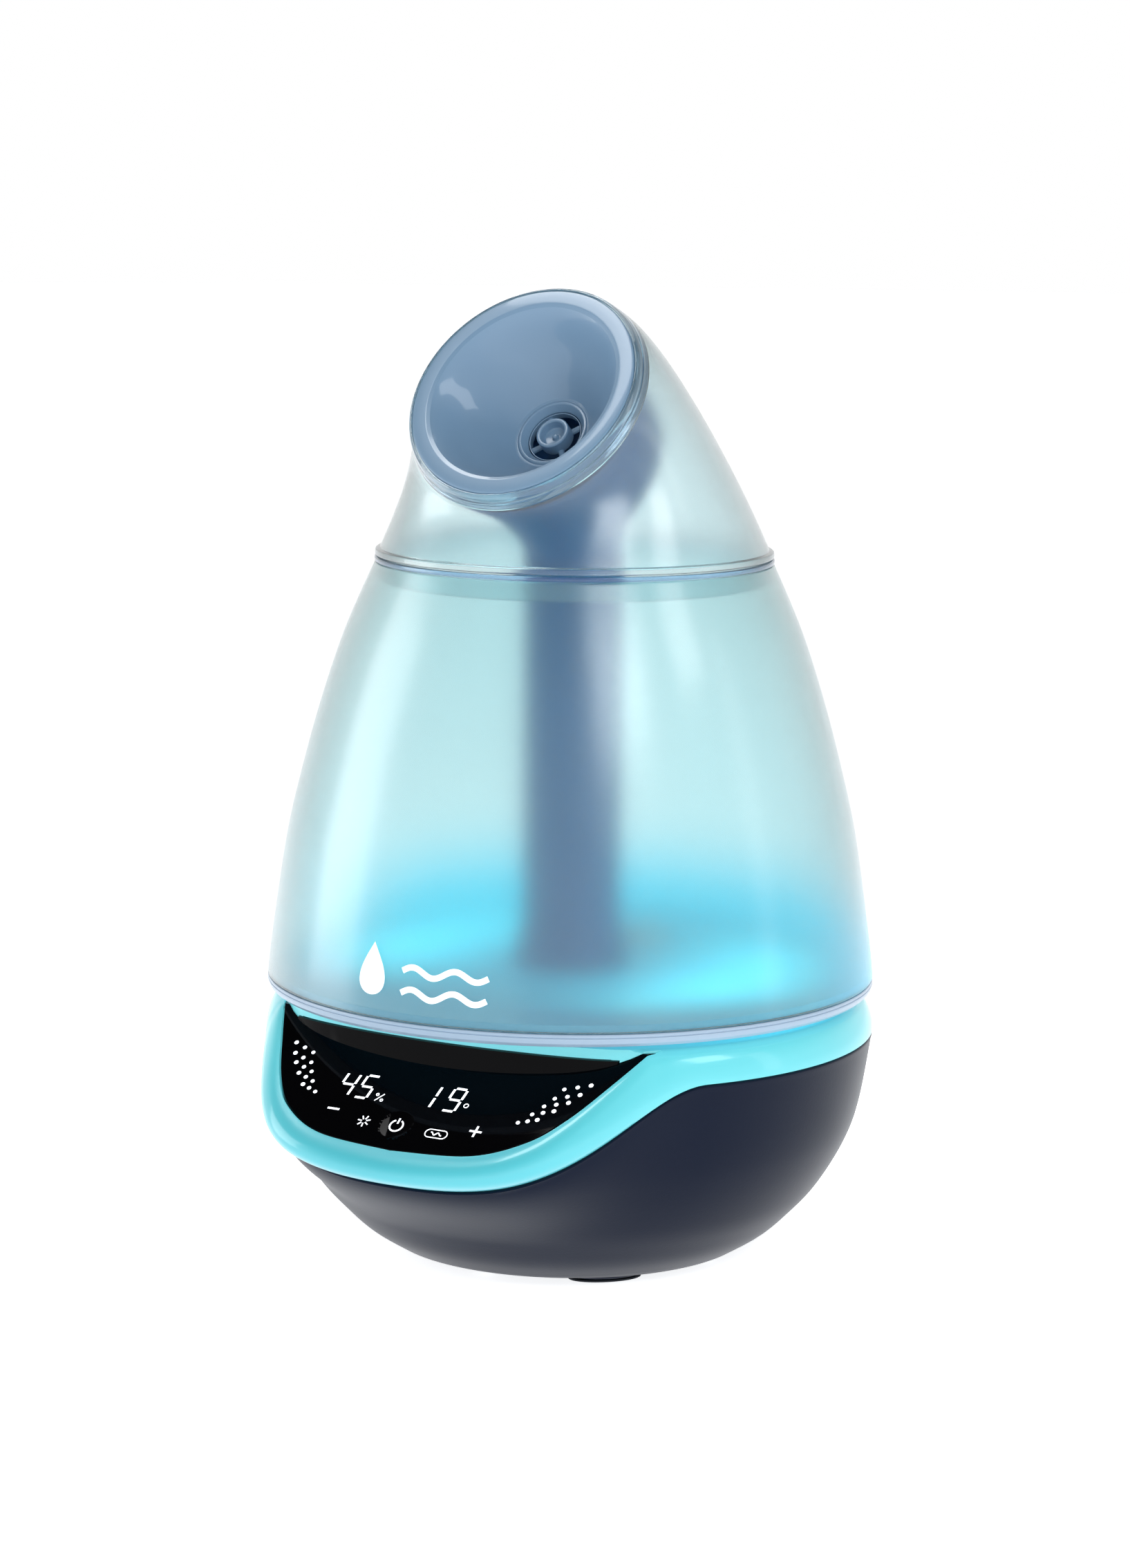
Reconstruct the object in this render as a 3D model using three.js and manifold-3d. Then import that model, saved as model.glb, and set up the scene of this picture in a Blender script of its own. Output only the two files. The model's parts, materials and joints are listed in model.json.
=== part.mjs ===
// Cool mist humidifier with a swivelling nozzle dome, an egg-shaped lift-off tank and a lit base.
// Millimetres, +Z up, front towards -Y. The origin is on the floor under the middle of the object.
import * as THREE from 'three';
import { mergeVertices } from 'three/addons/utils/BufferGeometryUtils.js';
import Module from 'manifold-3d';

const wasm = await Module();
wasm.setup();

// ---------------------------------------------------------------- driving dimensions
const fit = 0.3;              // air left between neighbouring pieces
const turningAxisY = 8.2;     // the front lip sticks out, so the turning axis lies behind the middle

const tank = { base: 101.8, top: 251.2, wall: 2.4 };
const collar = { bottom: 96.9, inner: 104, outer: 110.4 };
const neck = { bottom: 251.5, top: 253.3, radius: 72.1, skirt: 244 };
const chimney = { radius: 18, wall: 2, bottom: 104.5, top: 249 };

const dome = { base: 253.7, radius: 71.2, wall: 2.2, lean: 0.42 };
const mouth = { forward: 37.5, height: 314.3, tilt: THREE.MathUtils.degToRad(37), radius: 45.7 };
const trim = { depth: 6, front: 44, back: 45.7, inner: 42.9 };
const funnel = { rim: 42.6, edge: 35.7, hole: 10.4, wall: 1.8 };
const duct = { seat: 18.4, foot: 249.5, end: 33.6, depth: 19.6, wall: 2 };

const ring = { seam: 82.3, drop: 35.7, wall: 3, flangeTop: 94.5, flangeBottom: 91, inner: 84.5 };
const lip = { reach: THREE.MathUtils.degToRad(56), flare: 16 };
const panel = {
  height: 148.3, slope: 0.739, top: 93.2, lens: 2.4, riser: 1.6, riserTop: 90.5, riserHalf: 66,
};
const bowl = { bottom: 3.6, wall: 3, ledge: 52, cover: 62.7 };
const foot = { radius: 53.6, half: 15.5, depth: 9, boss: 1.2, pad: 0.9 };

const tray = { top: 94.2, outer: 84, inner: 79, floor: 60, well: 52 };
const port = { x: -35, y: 18, bore: 13, top: 80 };
const valve = { y: 52, neck: 20, cap: 23, bottom: 88, cageTop: 107 };
const float = { x: 42, y: 26, radius: 9, bottom: 63, height: 9, post: 2.6 };
const fan = { x: -22, y: 4, side: 50, bottom: 11, height: 15, bore: 22.6 };
const drawer = { bottom: 38, height: 12, width: 32 };
const scentPad = { width: 23, depth: 32, height: 3, y: 76, low: 41.6 };
const socket = { z: 20, radius: 9, face: 78.5, bore: 3.2, pin: 1.1 };
const coverScrew = { circle: 57.4, shank: 1.5, head: 3.2, low: 4.1, neck: 4.9, top: 11.5 };
const transducer = { seat: 10, disc: 9.2, low: 51, high: 51.7 };
const spring = { wire: 0.45, radius: 5.2, low: 98.2, high: 104.6, turns: 3.5 };

const tankOutline = [
  [110.4, tank.base], [108.7, 116.8], [103.5, 151.8], [97.8, 176.8], [90.9, 201.8], [82.5, 226.8],
  [71.9, tank.top],
];
const bowlOutline = [
  [66, 3.6], [75.8, 9.8], [83.4, 16.8], [92.3, 26.8], [101.2, 41.8], [106.4, 56.8], [110.9, 84],
];
const lensTip = 77.5;
const lensEdge = [[0, -120.5], [30, -118.3], [48, -111], [58.5, -101], [68, -86.4], [lensTip, -70.4]];

// ---------------------------------------------------------------- helpers
const humidifier = new THREE.Group();
humidifier.position.y = turningAxisY;

const finishes = {
  tank: [0xbedde0, 0.35, 0], dome: [0xcae6e9, 0.25, 0], collar: [0xb4c3d2, 0.45, 0],
  funnel: [0xa5b9d0, 0.3, 0], chimney: [0x5b82a3, 0.45, 0], clear: [0xd9eef4, 0.1, 0],
  glow: [0x82f0f6, 0.35, 0], shell: [0x3c424e, 0.35, 0], lens: [0x040405, 0.08, 0],
  board: [0x1f6b45, 0.6, 0], white: [0xe6eaec, 0.5, 0], rubber: [0x222428, 0.85, 0],
  metal: [0xb9bec4, 0.35, 1], brass: [0xc8a24a, 0.35, 1], black: [0x17191c, 0.55, 0],
  felt: [0xe9e6da, 0.95, 0],
};

function place(name, geometry, finish, parent = humidifier) {
  const [color, roughness, metalness] = finishes[finish];
  const mesh = new THREE.Mesh(geometry, new THREE.MeshStandardMaterial({ color, roughness, metalness }));
  mesh.name = name;
  parent.add(mesh);
  return mesh;
}

// Shared corners become one vertex, slivers without area go, and the faces point outwards.
function weld(geometry) {
  const bare = geometry.clone();
  bare.deleteAttribute('normal');
  bare.deleteAttribute('uv');
  const merged = mergeVertices(bare, 1e-4);
  const corner = merged.index.array;
  const at = merged.attributes.position;
  const kept = [];
  let volume = 0;
  const [a, b, c] = [new THREE.Vector3(), new THREE.Vector3(), new THREE.Vector3()];
  for (let i = 0; i < corner.length; i += 3) {
    const [p, q, r] = [corner[i], corner[i + 1], corner[i + 2]];
    if (p === q || q === r || r === p) continue;
    kept.push(p, q, r);
    b.fromBufferAttribute(at, q).cross(c.fromBufferAttribute(at, r));
    volume += a.fromBufferAttribute(at, p).dot(b);
  }
  if (volume < 0) kept.reverse();
  merged.setIndex(kept);
  merged.computeVertexNormals();
  return merged;
}

function solid(geometry) {
  const closed = weld(geometry);
  return new wasm.Manifold(new wasm.Mesh({
    numProp: 3,
    vertProperties: Float32Array.from(closed.attributes.position.array),
    triVerts: Uint32Array.from(closed.index.array),
  }));
}

function shell(body) {
  const mesh = body.getMesh();
  const geometry = new THREE.BufferGeometry();
  geometry.setAttribute('position', new THREE.BufferAttribute(mesh.vertProperties, 3));
  geometry.setIndex(new THREE.BufferAttribute(mesh.triVerts, 1));
  geometry.computeVertexNormals();
  return geometry;
}

const join = (...parts) => shell(parts.map(solid).reduce((whole, part) => whole.add(part)));
const cut = (blank, ...tools) => shell(
  tools.map(solid).reduce((rest, tool) => rest.subtract(tool), solid(blank)));

// A turned piece: [radius, height] points, closed on themselves or starting and ending on the axis.
function turned(points, segments = 36, x = 0, y = 0) {
  const profile = points.map(([r, z]) => new THREE.Vector2(r, z));
  return weld(new THREE.LatheGeometry(profile, segments).rotateX(Math.PI / 2).translate(x, y, 0));
}

// A turned ring with a rectangular section, or a disc when the inner radius is 0.
function washer(inner, outer, low, high, segments = 36, x = 0, y = 0) {
  if (inner === 0) return turned([[0, low], [outer, low], [outer, high], [0, high]], segments, x, y);
  return turned([[inner, low], [outer, low], [outer, high], [inner, high], [inner, low]], segments, x, y);
}

// A lathe whose closed section changes with the angle from the front.
function shapedTurn(section, segments) {
  const count = section(0).length;
  const blank = Array.from({ length: count }, (_, j) => new THREE.Vector2(1, j));
  const geometry = new THREE.LatheGeometry(blank, segments);
  const at = geometry.attributes.position;
  for (let i = 0; i <= segments; i += 1) {
    const angle = ((i % segments) / segments) * 2 * Math.PI;
    section(angle).forEach((p, j) => {
      const point = p.isVector3
        ? p : new THREE.Vector3(p[0] * Math.sin(angle), -p[0] * Math.cos(angle), p[1]);
      at.setXYZ(i * count + j, point.x, point.y, point.z);
    });
  }
  return weld(geometry);
}

const rod = (radius, low, high, x, y, segments = 16) => washer(0, radius, low, high, segments, x, y);

function box(width, depth, height, x, y, low) {
  return new THREE.BoxGeometry(width, depth, height).translate(x, y, low + height / 2);
}

// A vertical prism on a plan outline, with its ends on two height functions of y.
function slab(outline, lowAt, highAt) {
  const geometry = new THREE.ExtrudeGeometry(outline, { depth: 1, bevelEnabled: false, curveSegments: 4 });
  const at = geometry.attributes.position;
  for (let i = 0; i < at.count; i += 1) at.setZ(i, (at.getZ(i) < 0.5 ? lowAt : highAt)(at.getY(i)));
  return weld(geometry);
}

function curve(points) {
  return new THREE.SplineCurve(points.map(([r, z]) => new THREE.Vector2(r, z)));
}

// Radius of an outline at a height, read from a fine sampling of its curve.
function radiusAt(outline) {
  const samples = curve(outline).getPoints(80);
  return (z) => {
    const above = samples.findIndex((p) => p.y >= z);
    if (above <= 0) return samples[above === 0 ? 0 : samples.length - 1].x;
    const [low, high] = [samples[above - 1], samples[above]];
    return low.x + ((high.x - low.x) * (z - low.y)) / (high.y - low.y);
  };
}

const fromFront = (angle) => Math.min(angle, 2 * Math.PI - angle);
const smooth = (t) => THREE.MathUtils.smoothstep(t, 0, 1);
const bezier = (t, a, b, c, d) => (
  (1 - t) ** 3 * a + 3 * t * (1 - t) ** 2 * b + 3 * t * t * (1 - t) * c + t ** 3 * d);
const spread = (count, make) => Array.from({ length: count }, (_, i) => make(i));

// ---------------------------------------------------------------- base: bowl, light ring and display
const bowlRadius = radiusAt(bowlOutline);
const panelHeight = (y) => Math.min(panel.height + panel.slope * y, panel.top);
const creaseY = (x) => -89 + 0.00175 * x * x + 8.1 * (x / lensTip) ** 8;
const lensHalf = curve(lensEdge).getPoints(20);

// The front part of the ring hangs down as a lip: its lower seam drops and swings outwards.
function seam(angle) {
  const t = Math.min(fromFront(angle) / lip.reach, 1);
  const height = ring.seam - ring.drop * (1 + Math.cos(Math.PI * t ** 1.6)) / 2;
  const front = smooth((1 - t) / 0.68);
  return { height, front, radius: bowlRadius(height) + lip.flare * front };
}

// Where the ring's face meets the lens, or its own shoulder away from the front.
function ringEdge(angle) {
  const side = fromFront(angle);
  const shoulder = { radius: 106.8, height: 92.8 };
  for (let i = 1; i < lensHalf.length; i += 1) {
    const [near, far] = [lensHalf[i - 1], lensHalf[i]];
    const [from, to] = [Math.atan2(near.x, -near.y), Math.atan2(far.x, -far.y)];
    if (side <= to) {
      const k = (side - from) / (to - from);
      const radius = THREE.MathUtils.lerp(near.length(), far.length(), k) + 1;
      return { radius, height: Math.min(panelHeight(-radius * Math.cos(side)), shoulder.height) };
    }
  }
  return shoulder;
}

function ringFace(angle, steps) {
  const low = seam(angle);
  const edge = ringEdge(angle);
  const { front } = low;
  return spread(steps + 1, (i) => {
    const t = i / steps;
    return [
      bezier(t, low.radius, low.radius + 0.3 + 12 * front, edge.radius + 2 + 5.5 * front, edge.radius),
      bezier(t, low.height, low.height + 3.5 - 1.3 * front, edge.height - 1.5 - 1.3 * front, edge.height),
    ];
  });
}

const faceSteps = 4;

function ringSection(angle) {
  const face = ringFace(angle, faceSteps);
  const edge = ringEdge(angle);
  const { front } = seam(angle);
  const shoulder = edge.radius - 2 - 6 * front;
  const inside = face.map(([r, z], i) => [r - ring.wall, z - (i / faceSteps) * 1.2]).reverse();
  return [
    ...face,
    [edge.radius - 1.9, Math.min(edge.height + 1.3, ring.flangeTop - 0.2)],
    [shoulder - 1, ring.flangeTop],
    [ring.inner, ring.flangeTop],
    [ring.inner, ring.flangeBottom],
    [shoulder - 4, ring.flangeBottom],
    ...inside.slice(1),
    face[0],
  ];
}

// Plan outline of the lens, grown or shrunk, with its back edge along the crease.
function lensOutline(grow) {
  const edge = curve(lensEdge).getPoints(14).map((p) => new THREE.Vector2(
    p.x * (1 + (3 * grow) / lensTip), p.y - grow * (1 - 4 * (p.x / lensTip) ** 8)));
  const back = spread(11, (i) => {
    const x = lensTip * (1 - i / 5);
    return new THREE.Vector2(x, creaseY(x) + grow);
  }).slice(1, -1);
  const mirrored = edge.slice(1).reverse().map((p) => new THREE.Vector2(-p.x, p.y));
  return new THREE.Shape([...mirrored, ...edge, ...back]);
}

function creaseBand(half, front, back) {
  const edge = (offset) => spread(9, (i) => {
    const x = THREE.MathUtils.lerp(-half, half, i / 8);
    return new THREE.Vector2(x, creaseY(x) + offset);
  });
  return new THREE.Shape([...edge(front), ...edge(back).reverse()]);
}

const level = (z) => () => z;
const belowPanel = (depth) => (y) => panelHeight(y) - depth;

place('light_ring', cut(
  shapedTurn(ringSection, 48),
  slab(lensOutline(fit), belowPanel(panel.lens + fit), level(130)),
  slab(creaseBand(panel.riserHalf + fit, -0.5, panel.riser + fit),
    belowPanel(panel.lens + 8), level(panel.riserTop + fit)),
), 'glow');

place('display_lens', join(
  slab(lensOutline(0), belowPanel(panel.lens), belowPanel(0)),
  slab(creaseBand(panel.riserHalf, -0.4, panel.riser), belowPanel(panel.lens), level(panel.riserTop)),
), 'lens');

// Plan outline of the parts under the lens: a plate with its front corners cut off.
function plateOutline(half, front, back, corner) {
  const points = [[half - corner, front], [half, front + corner], [half, back]];
  const mirrored = points.map(([x, y]) => [-x, y]).reverse();
  return new THREE.Shape([...mirrored, ...points].map(([x, y]) => new THREE.Vector2(x, y)));
}

place('panel_tray', cut(
  slab(plateOutline(50, -113, -86.6, 16), belowPanel(13), belowPanel(panel.lens + fit)),
  slab(plateOutline(48.2, -111.2, -88.4, 15.4), belowPanel(11.2), belowPanel(0)),
), 'white');

const keyPads = [-34, -17, 0, 17, 34];
place('display_board', join(
  slab(plateOutline(46.5, -109.8, -90, 15), belowPanel(10.6), belowPanel(9)),
  ...keyPads.map((x) => {
    const pad = new THREE.Shape().absarc(x, -102, 4, 0, 2 * Math.PI);
    return slab(pad, belowPanel(9.2), belowPanel(5));
  }),
), 'board');

function bowlSection(angle) {
  const top = seam(angle);
  const rim = top.height - 0.5;
  const outside = spread(8, (i) => {
    const t = i / 7;
    const z = THREE.MathUtils.lerp(bowl.bottom, rim, t);
    const flare = smooth(THREE.MathUtils.clamp((z - 20) / (top.height - 20), 0, 1)) * lip.flare * top.front;
    return [bowlRadius(z) + flare, z];
  });
  const inside = outside.slice(2).map(([r, z]) => [r - bowl.wall, z]).reverse();
  return [
    ...outside, ...inside, [66, 9.8], [bowl.ledge, 9.8], [bowl.ledge, 6.9], [bowl.cover + fit, 6.9],
    [bowl.cover + fit, bowl.bottom], outside[0],
  ];
}

const corners = [45, 135, 225, 315].map((degrees) => THREE.MathUtils.degToRad(degrees));
const around = (radius, angle) => [radius * Math.sin(angle), -radius * Math.cos(angle)];

// An oval post standing on the foot circle, long side along the circle.
function footPost(angle, depth, half, low, high, taper = 1) {
  return new THREE.CylinderGeometry(1, taper, high - low, 24).rotateX(Math.PI / 2)
    .scale(half, depth, 1).rotateZ(angle).translate(...around(foot.radius, angle), (low + high) / 2);
}

const drawerWindow = (gap) => box(
  drawer.width + 2 * gap, 60, drawer.height + 2 * gap, 0, 100, drawer.bottom - gap);
const acrossY = (radius, from, to, z, segments = 32) => (
  new THREE.CylinderGeometry(radius, radius, to - from, segments).translate(0, (from + to) / 2, z));
const bowlBlank = shapedTurn(bowlSection, 48);
const sensorSlots = spread(4, (i) => box(2, 30, 10, 40 + 5 * i, 90, 60));
const screwAngles = [0, 90, 180, 270].map((degrees) => THREE.MathUtils.degToRad(degrees));

const bowlTools = [
  drawerWindow(fit), acrossY(socket.radius + fit, 70, 120, socket.z), ...sensorSlots,
  rod(bowl.cover + fit, -5, 6.9, 0, 0, 36),
  ...screwAngles.map((a) => rod(1.8, 5, 12, ...around(coverScrew.circle, a), 12)),
];
place('base_shell', cut(bowlBlank, ...bowlTools), 'shell');

corners.forEach((angle, i) => {
  place(`foot_pad_${i + 1}`, weld(footPost(angle, foot.depth - 1.8, foot.half - 2, 0, foot.pad)), 'rubber');
});

const ventSlots = spread(7, (i) => box(2.6, 32 - 3 * Math.abs(i - 3), 20, fan.x + 5 * (i - 3), fan.y, 0));
const coverScrewHoles = screwAngles.map((a) => rod(1.9, 0, 10, ...around(coverScrew.circle, a), 12));
const coverScrewSeats = screwAngles.map((a) => rod(3.6, 0, 5.2, ...around(coverScrew.circle, a), 12));
const coverPlate = join(
  washer(0, bowl.cover, bowl.bottom + 0.2, 6.6, 36),
  ...corners.map((a) => footPost(a, foot.depth, foot.half, foot.boss, 5, 0.84)),
);
place('bottom_cover', cut(coverPlate, ...ventSlots, ...coverScrewHoles, ...coverScrewSeats), 'shell');

screwAngles.forEach((angle, i) => {
  const [x, y] = around(coverScrew.circle, angle);
  place(`cover_screw_${i + 1}`, cut(
    turned([
      [0, coverScrew.low], [coverScrew.head, coverScrew.low], [coverScrew.head, coverScrew.neck],
      [coverScrew.shank, coverScrew.neck], [coverScrew.shank, coverScrew.top], [0, coverScrew.top],
    ], 12, x, y),
    box(3.4, 0.7, 0.8, x, y, coverScrew.low - 0.5), box(0.7, 3.4, 0.8, x, y, coverScrew.low - 0.5),
  ), 'metal');
});

// ---------------------------------------------------------------- base: water tray and mist maker
const trayBody = solid(turned([
  [0, tray.well], [18, tray.well], [22, tray.floor], [tray.inner, tray.floor], [82, 66], [82, 91.2],
  [tray.outer, 91.2], [tray.outer, tray.top], [79.8, tray.top], [79.8, 67], [77.5, 62.2], [21, 62.2],
  [17, 54.2], [0, 54.2],
], 32));
const airPort = solid(rod(port.bore + 2, 58, port.top, port.x, port.y, 24));
const airBore = solid(rod(port.bore, 50, 90, port.x, port.y, 24));
const floatPost = solid(rod(float.post, 61, 82, float.x, float.y));
const transducerHole = solid(rod(transducer.seat, 40, 56, 0, 0));
place('water_tray', shell(
  trayBody.add(airPort).subtract(airBore).add(floatPost).subtract(transducerHole)), 'white');

place('valve_post', join(
  rod(7, 62.5, 64.5, 0, valve.y), rod(2.2, 64.5, 79.6, 0, valve.y, 16),
), 'white');
place('float_clip', washer(float.post + 0.15, 5, 80.2, 81.6, 24, float.x, float.y), 'metal');
place('transducer_disc', washer(0, transducer.disc, transducer.low, transducer.high, 32), 'metal');
place('transducer_seal', washer(transducer.disc + 0.4, 11.8, 49.6, transducer.high, 24), 'rubber');
place('transducer_clamp', washer(6, 15, 47, 49.3, 24), 'brass');
place('heat_sink', join(
  box(26, 26, 2.5, 0, 0, 44.1),
  ...spread(6, (i) => box(1.4, 26, 6, -12.2 + 4.88 * i, 0, 38.6)),
), 'metal');

const fanTop = fan.bottom + fan.height;
const fanOpening = [[8, -8 * 0.8], [20.5, -15], [20.5, 15], [8, 8 * 0.8]];
place('fan_frame', cut(
  box(fan.side, fan.side, fan.height, fan.x, fan.y, fan.bottom),
  rod(fan.bore, fan.bottom + 2, fanTop + 1, fan.x, fan.y, 32),
  ...spread(4, (i) => new THREE.ExtrudeGeometry(
    new THREE.Shape(fanOpening.map(([x, y]) => new THREE.Vector2(x, y))),
    { depth: 8, bevelEnabled: false },
  ).rotateZ((i * Math.PI) / 2).translate(fan.x, fan.y, fan.bottom - 4)),
  ...[-21, 21].flatMap((x) => [-21, 21].map((y) => rod(2, 0, 40, fan.x + x, fan.y + y, 12))),
), 'black');

const bladeCount = 7;
const blade = () => {
  const plate = new THREE.BoxGeometry(12.5, 1.3, 9).rotateX(0.6);
  return plate.translate(15, 0, 0);
};
place('fan_rotor', join(
  turned([[0, 13.6], [9.5, 13.6], [9.5, 24.6], [8.6, 25.4], [0, 25.4]], 28, fan.x, fan.y),
  ...spread(bladeCount, (i) => blade()
    .rotateZ((2 * Math.PI * i) / bladeCount).translate(fan.x, fan.y, 19.2)),
), 'black');

const airDuctSection = [
  [25, 26.3], [25, 29], [15.4, 37], [15.4, 57.5], [13.4, 57.5], [13.4, 36.6], [22.6, 28.6],
  [22.6, 26.3], [25, 26.3],
];
// The air duct leans from the fan's middle to the air port.
const airDuct = turned(airDuctSection, 24);
const ductAt = airDuct.attributes.position;
for (let i = 0; i < ductAt.count; i += 1) {
  const lean = smooth(THREE.MathUtils.clamp((ductAt.getZ(i) - 28.8) / 14, 0, 1));
  const [x, y] = [THREE.MathUtils.lerp(fan.x, port.x, lean), THREE.MathUtils.lerp(fan.y, port.y, lean)];
  ductAt.setXYZ(i, ductAt.getX(i) + x, ductAt.getY(i) + y, ductAt.getZ(i));
}
place('air_duct', airDuct, 'white');

place('main_board', join(
  box(50, 66, 1.6, 36, 6, 22), box(14, 12, 12, 26, -14, 23.5), box(10, 10, 8, 46, -12, 23.5),
  box(22, 16, 4, 34, 14, 23.5), rod(5, 23.5, 36, 50, 30, 20), rod(4, 23.5, 32, 22, 30, 20),
), 'board');

// C-shaped board under the ring's flange, open towards the display.
function arcPlate(inner, outer, from, to) {
  const shape = new THREE.Shape();
  shape.absarc(0, 0, outer, from - Math.PI / 2, to - Math.PI / 2);
  shape.absarc(0, 0, inner, to - Math.PI / 2, from - Math.PI / 2, true);
  return shape;
}
const boardFrom = THREE.MathUtils.degToRad(56);
const lampCount = 14;
const lightPlate = new THREE.ExtrudeGeometry(arcPlate(85.5, 97, boardFrom, 2 * Math.PI - boardFrom), {
  depth: 1.6, bevelEnabled: false, curveSegments: 26,
});
place('light_board', join(
  lightPlate.translate(0, 0, 86),
  ...spread(lampCount, (i) => {
    const angle = THREE.MathUtils.lerp(boardFrom + 0.1, 2 * Math.PI - boardFrom - 0.1, i / (lampCount - 1));
    return new THREE.BoxGeometry(5, 5, 2).rotateZ(angle).translate(...around(92, angle), 88.4);
  }),
), 'board');

place('humidity_sensor', join(
  box(22, 1.6, 14, 47.5, 76, 58), box(8, 2.6, 6, 47.5, 78, 62),
), 'board');

place('power_socket', cut(
  join(acrossY(socket.radius, socket.face, socket.face + 2.5, socket.z),
    box(12, 14, 12, 0, 71.6, socket.z - 6)),
  cut(acrossY(socket.bore, 70, 90, socket.z, 20), acrossY(socket.pin, 69, 79.5, socket.z, 12)),
), 'black');

// ---------------------------------------------------------------- base: aroma drawer
const sleeve = { wall: 1.6, back: 54, front: 92.5 };
place('drawer_sleeve', cut(
  box(drawer.width + 4, sleeve.front - sleeve.back, drawer.height + 4, 0, (sleeve.front + sleeve.back) / 2,
    drawer.bottom - 2),
  box(drawer.width + 4 - 2 * sleeve.wall, 60, drawer.height + 4 - 2 * sleeve.wall, 0,
    sleeve.back + sleeve.wall + 30, drawer.bottom - 2 + sleeve.wall),
), 'white');

const bowlSkin = (from, to) => shapedTurn((angle) => {
  const heights = spread(7, (i) => drawer.bottom - 4 + ((drawer.height + 8) * i) / 6);
  const outer = heights.map((z) => [bowlRadius(z) - from, z]);
  const inner = heights.map((z) => [bowlRadius(z) - to, z]).reverse();
  return [...outer, ...inner, outer[0]];
}, 64);
const drawerFace = solid(bowlSkin(0, bowl.wall)).intersect(solid(drawerWindow(0)));
const drawerBox = solid(cut(
  box(27.6, 44, drawer.height - 2.6, 0, 78.4, drawer.bottom + 1.3),
  box(24.4, 34, drawer.height, 0, 76, drawer.bottom + 3.2),
));
const fingerGroove = solid(new THREE.CylinderGeometry(7, 7, 16, 24).rotateZ(Math.PI / 2)
  .translate(0, 107.6, drawer.bottom + drawer.height / 2));
place('aroma_drawer', shell(drawerFace.add(drawerBox).subtract(fingerGroove)), 'shell');
place('aroma_pad', weld(
  box(scentPad.width, scentPad.depth, scentPad.height, 0, scentPad.y, scentPad.low)), 'felt');

place('level_float', washer(float.post + 0.5, float.radius, float.bottom, float.bottom + float.height, 28,
  float.x, float.y), 'white');

// ---------------------------------------------------------------- tank
const tankCurve = curve(tankOutline);
const tankSide = tankCurve.getPoints(8).map((p) => [p.x, p.y]);
const tankInside = tankSide.map(([r, z]) => [r - tank.wall, z]).reverse();
place('tank_shell', turned([...tankSide, ...tankInside, tankSide[0]], 40), 'tank');

place('tank_collar', turned([
  [collar.inner, collar.bottom], [collar.outer - 1.8, collar.bottom],
  [collar.outer - 0.5, collar.bottom + 1.2],
  [collar.outer, collar.bottom + 3], [collar.outer, tank.base - fit], [collar.inner, tank.base - fit],
  [collar.inner, collar.bottom],
], 44), 'collar');

const floorBody = solid(turned([
  [16, 82], [18, 82], [18, 100.8], [85, 100.8], [85, 94.8], [88, 94.8], [88, tank.base], [107.4, tank.base],
  [107.4, 104.2], [16, 104.2], [16, 82],
], 36));
const valveNeck = solid(rod(valve.neck, 95, 101, 0, valve.y, 24));
const valveHole = solid(rod(valve.neck - 2.4, 80, 120, 0, valve.y, 24));
place('tank_floor', shell(floorBody.add(valveNeck).subtract(valveHole)), 'tank');

place('chimney_tube', turned([
  [19.5, chimney.bottom], [21.5, chimney.bottom], [20.2, 110], [chimney.radius, 122],
  [chimney.radius, chimney.top],
  [chimney.radius - chimney.wall, chimney.top], [chimney.radius - chimney.wall, 122], [18.2, 110],
  [19.5, chimney.bottom],
], 28), 'chimney');

// ---------------------------------------------------------------- tank valve
const { cageTop } = valve;
place('valve_cap', cut(
  turned([
    [6, valve.bottom], [valve.cap, valve.bottom], [valve.cap, 99.8], [valve.neck + fit, 99.8],
    [valve.neck + fit, 91],
    [11, 91], [11, cageTop], [3.2, cageTop], [3.2, cageTop - 1.6], [9.2, cageTop - 1.6], [9.2, 91], [6, 91],
    [6, valve.bottom],
  ], 20, 0, valve.y),
  box(60, 7, 9, 0, valve.y, 95), box(7, 60, 9, 0, valve.y, 95),
), 'white');
place('cap_seal', washer(11.4, 17.3, 91.3, 94.4, 24, 0, valve.y), 'rubber');
place('valve_plunger', turned([
  [0, 79.9], [2, 79.9], [2.4, 81], [2.4, 95.4], [8, 95.4], [8, 97.4], [2.4, 97.4], [2.4, cageTop + 2],
  [0, cageTop + 2],
], 20, 0, valve.y), 'white');

class Coil extends THREE.Curve {
  constructor(radius, low, high, turns) {
    super();
    Object.assign(this, { radius, low, high, turns });
  }

  getPoint(t, target = new THREE.Vector3()) {
    const angle = 2 * Math.PI * this.turns * t;
    const height = THREE.MathUtils.lerp(this.low, this.high, t);
    return target.set(this.radius * Math.cos(angle), this.radius * Math.sin(angle) + valve.y, height);
  }
}
const wireSection = new THREE.Shape(spread(6, (i) => new THREE.Vector2(
  spring.wire * Math.cos((i * Math.PI) / 3), spring.wire * Math.sin((i * Math.PI) / 3))));
place('valve_spring', weld(new THREE.ExtrudeGeometry(wireSection, {
  steps: 36,
  bevelEnabled: false,
  extrudePath: new Coil(spring.radius, spring.low, spring.high, spring.turns),
})), 'metal');

// ---------------------------------------------------------------- neck ring and nozzle dome
place('neck_ring', turned([
  [66.4, neck.skirt], [68.4, neck.skirt], [68.4, neck.bottom], [neck.radius, neck.bottom],
  [neck.radius, neck.top], [66.4, neck.top], [66.4, neck.skirt],
], 44), 'clear');

const outward = new THREE.Vector3(0, -Math.cos(mouth.tilt), Math.sin(mouth.tilt));
const mouthDown = new THREE.Vector3(0, -Math.sin(mouth.tilt), -Math.cos(mouth.tilt));
const mouthCentre = new THREE.Vector3(0, -mouth.forward, mouth.height);

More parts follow.
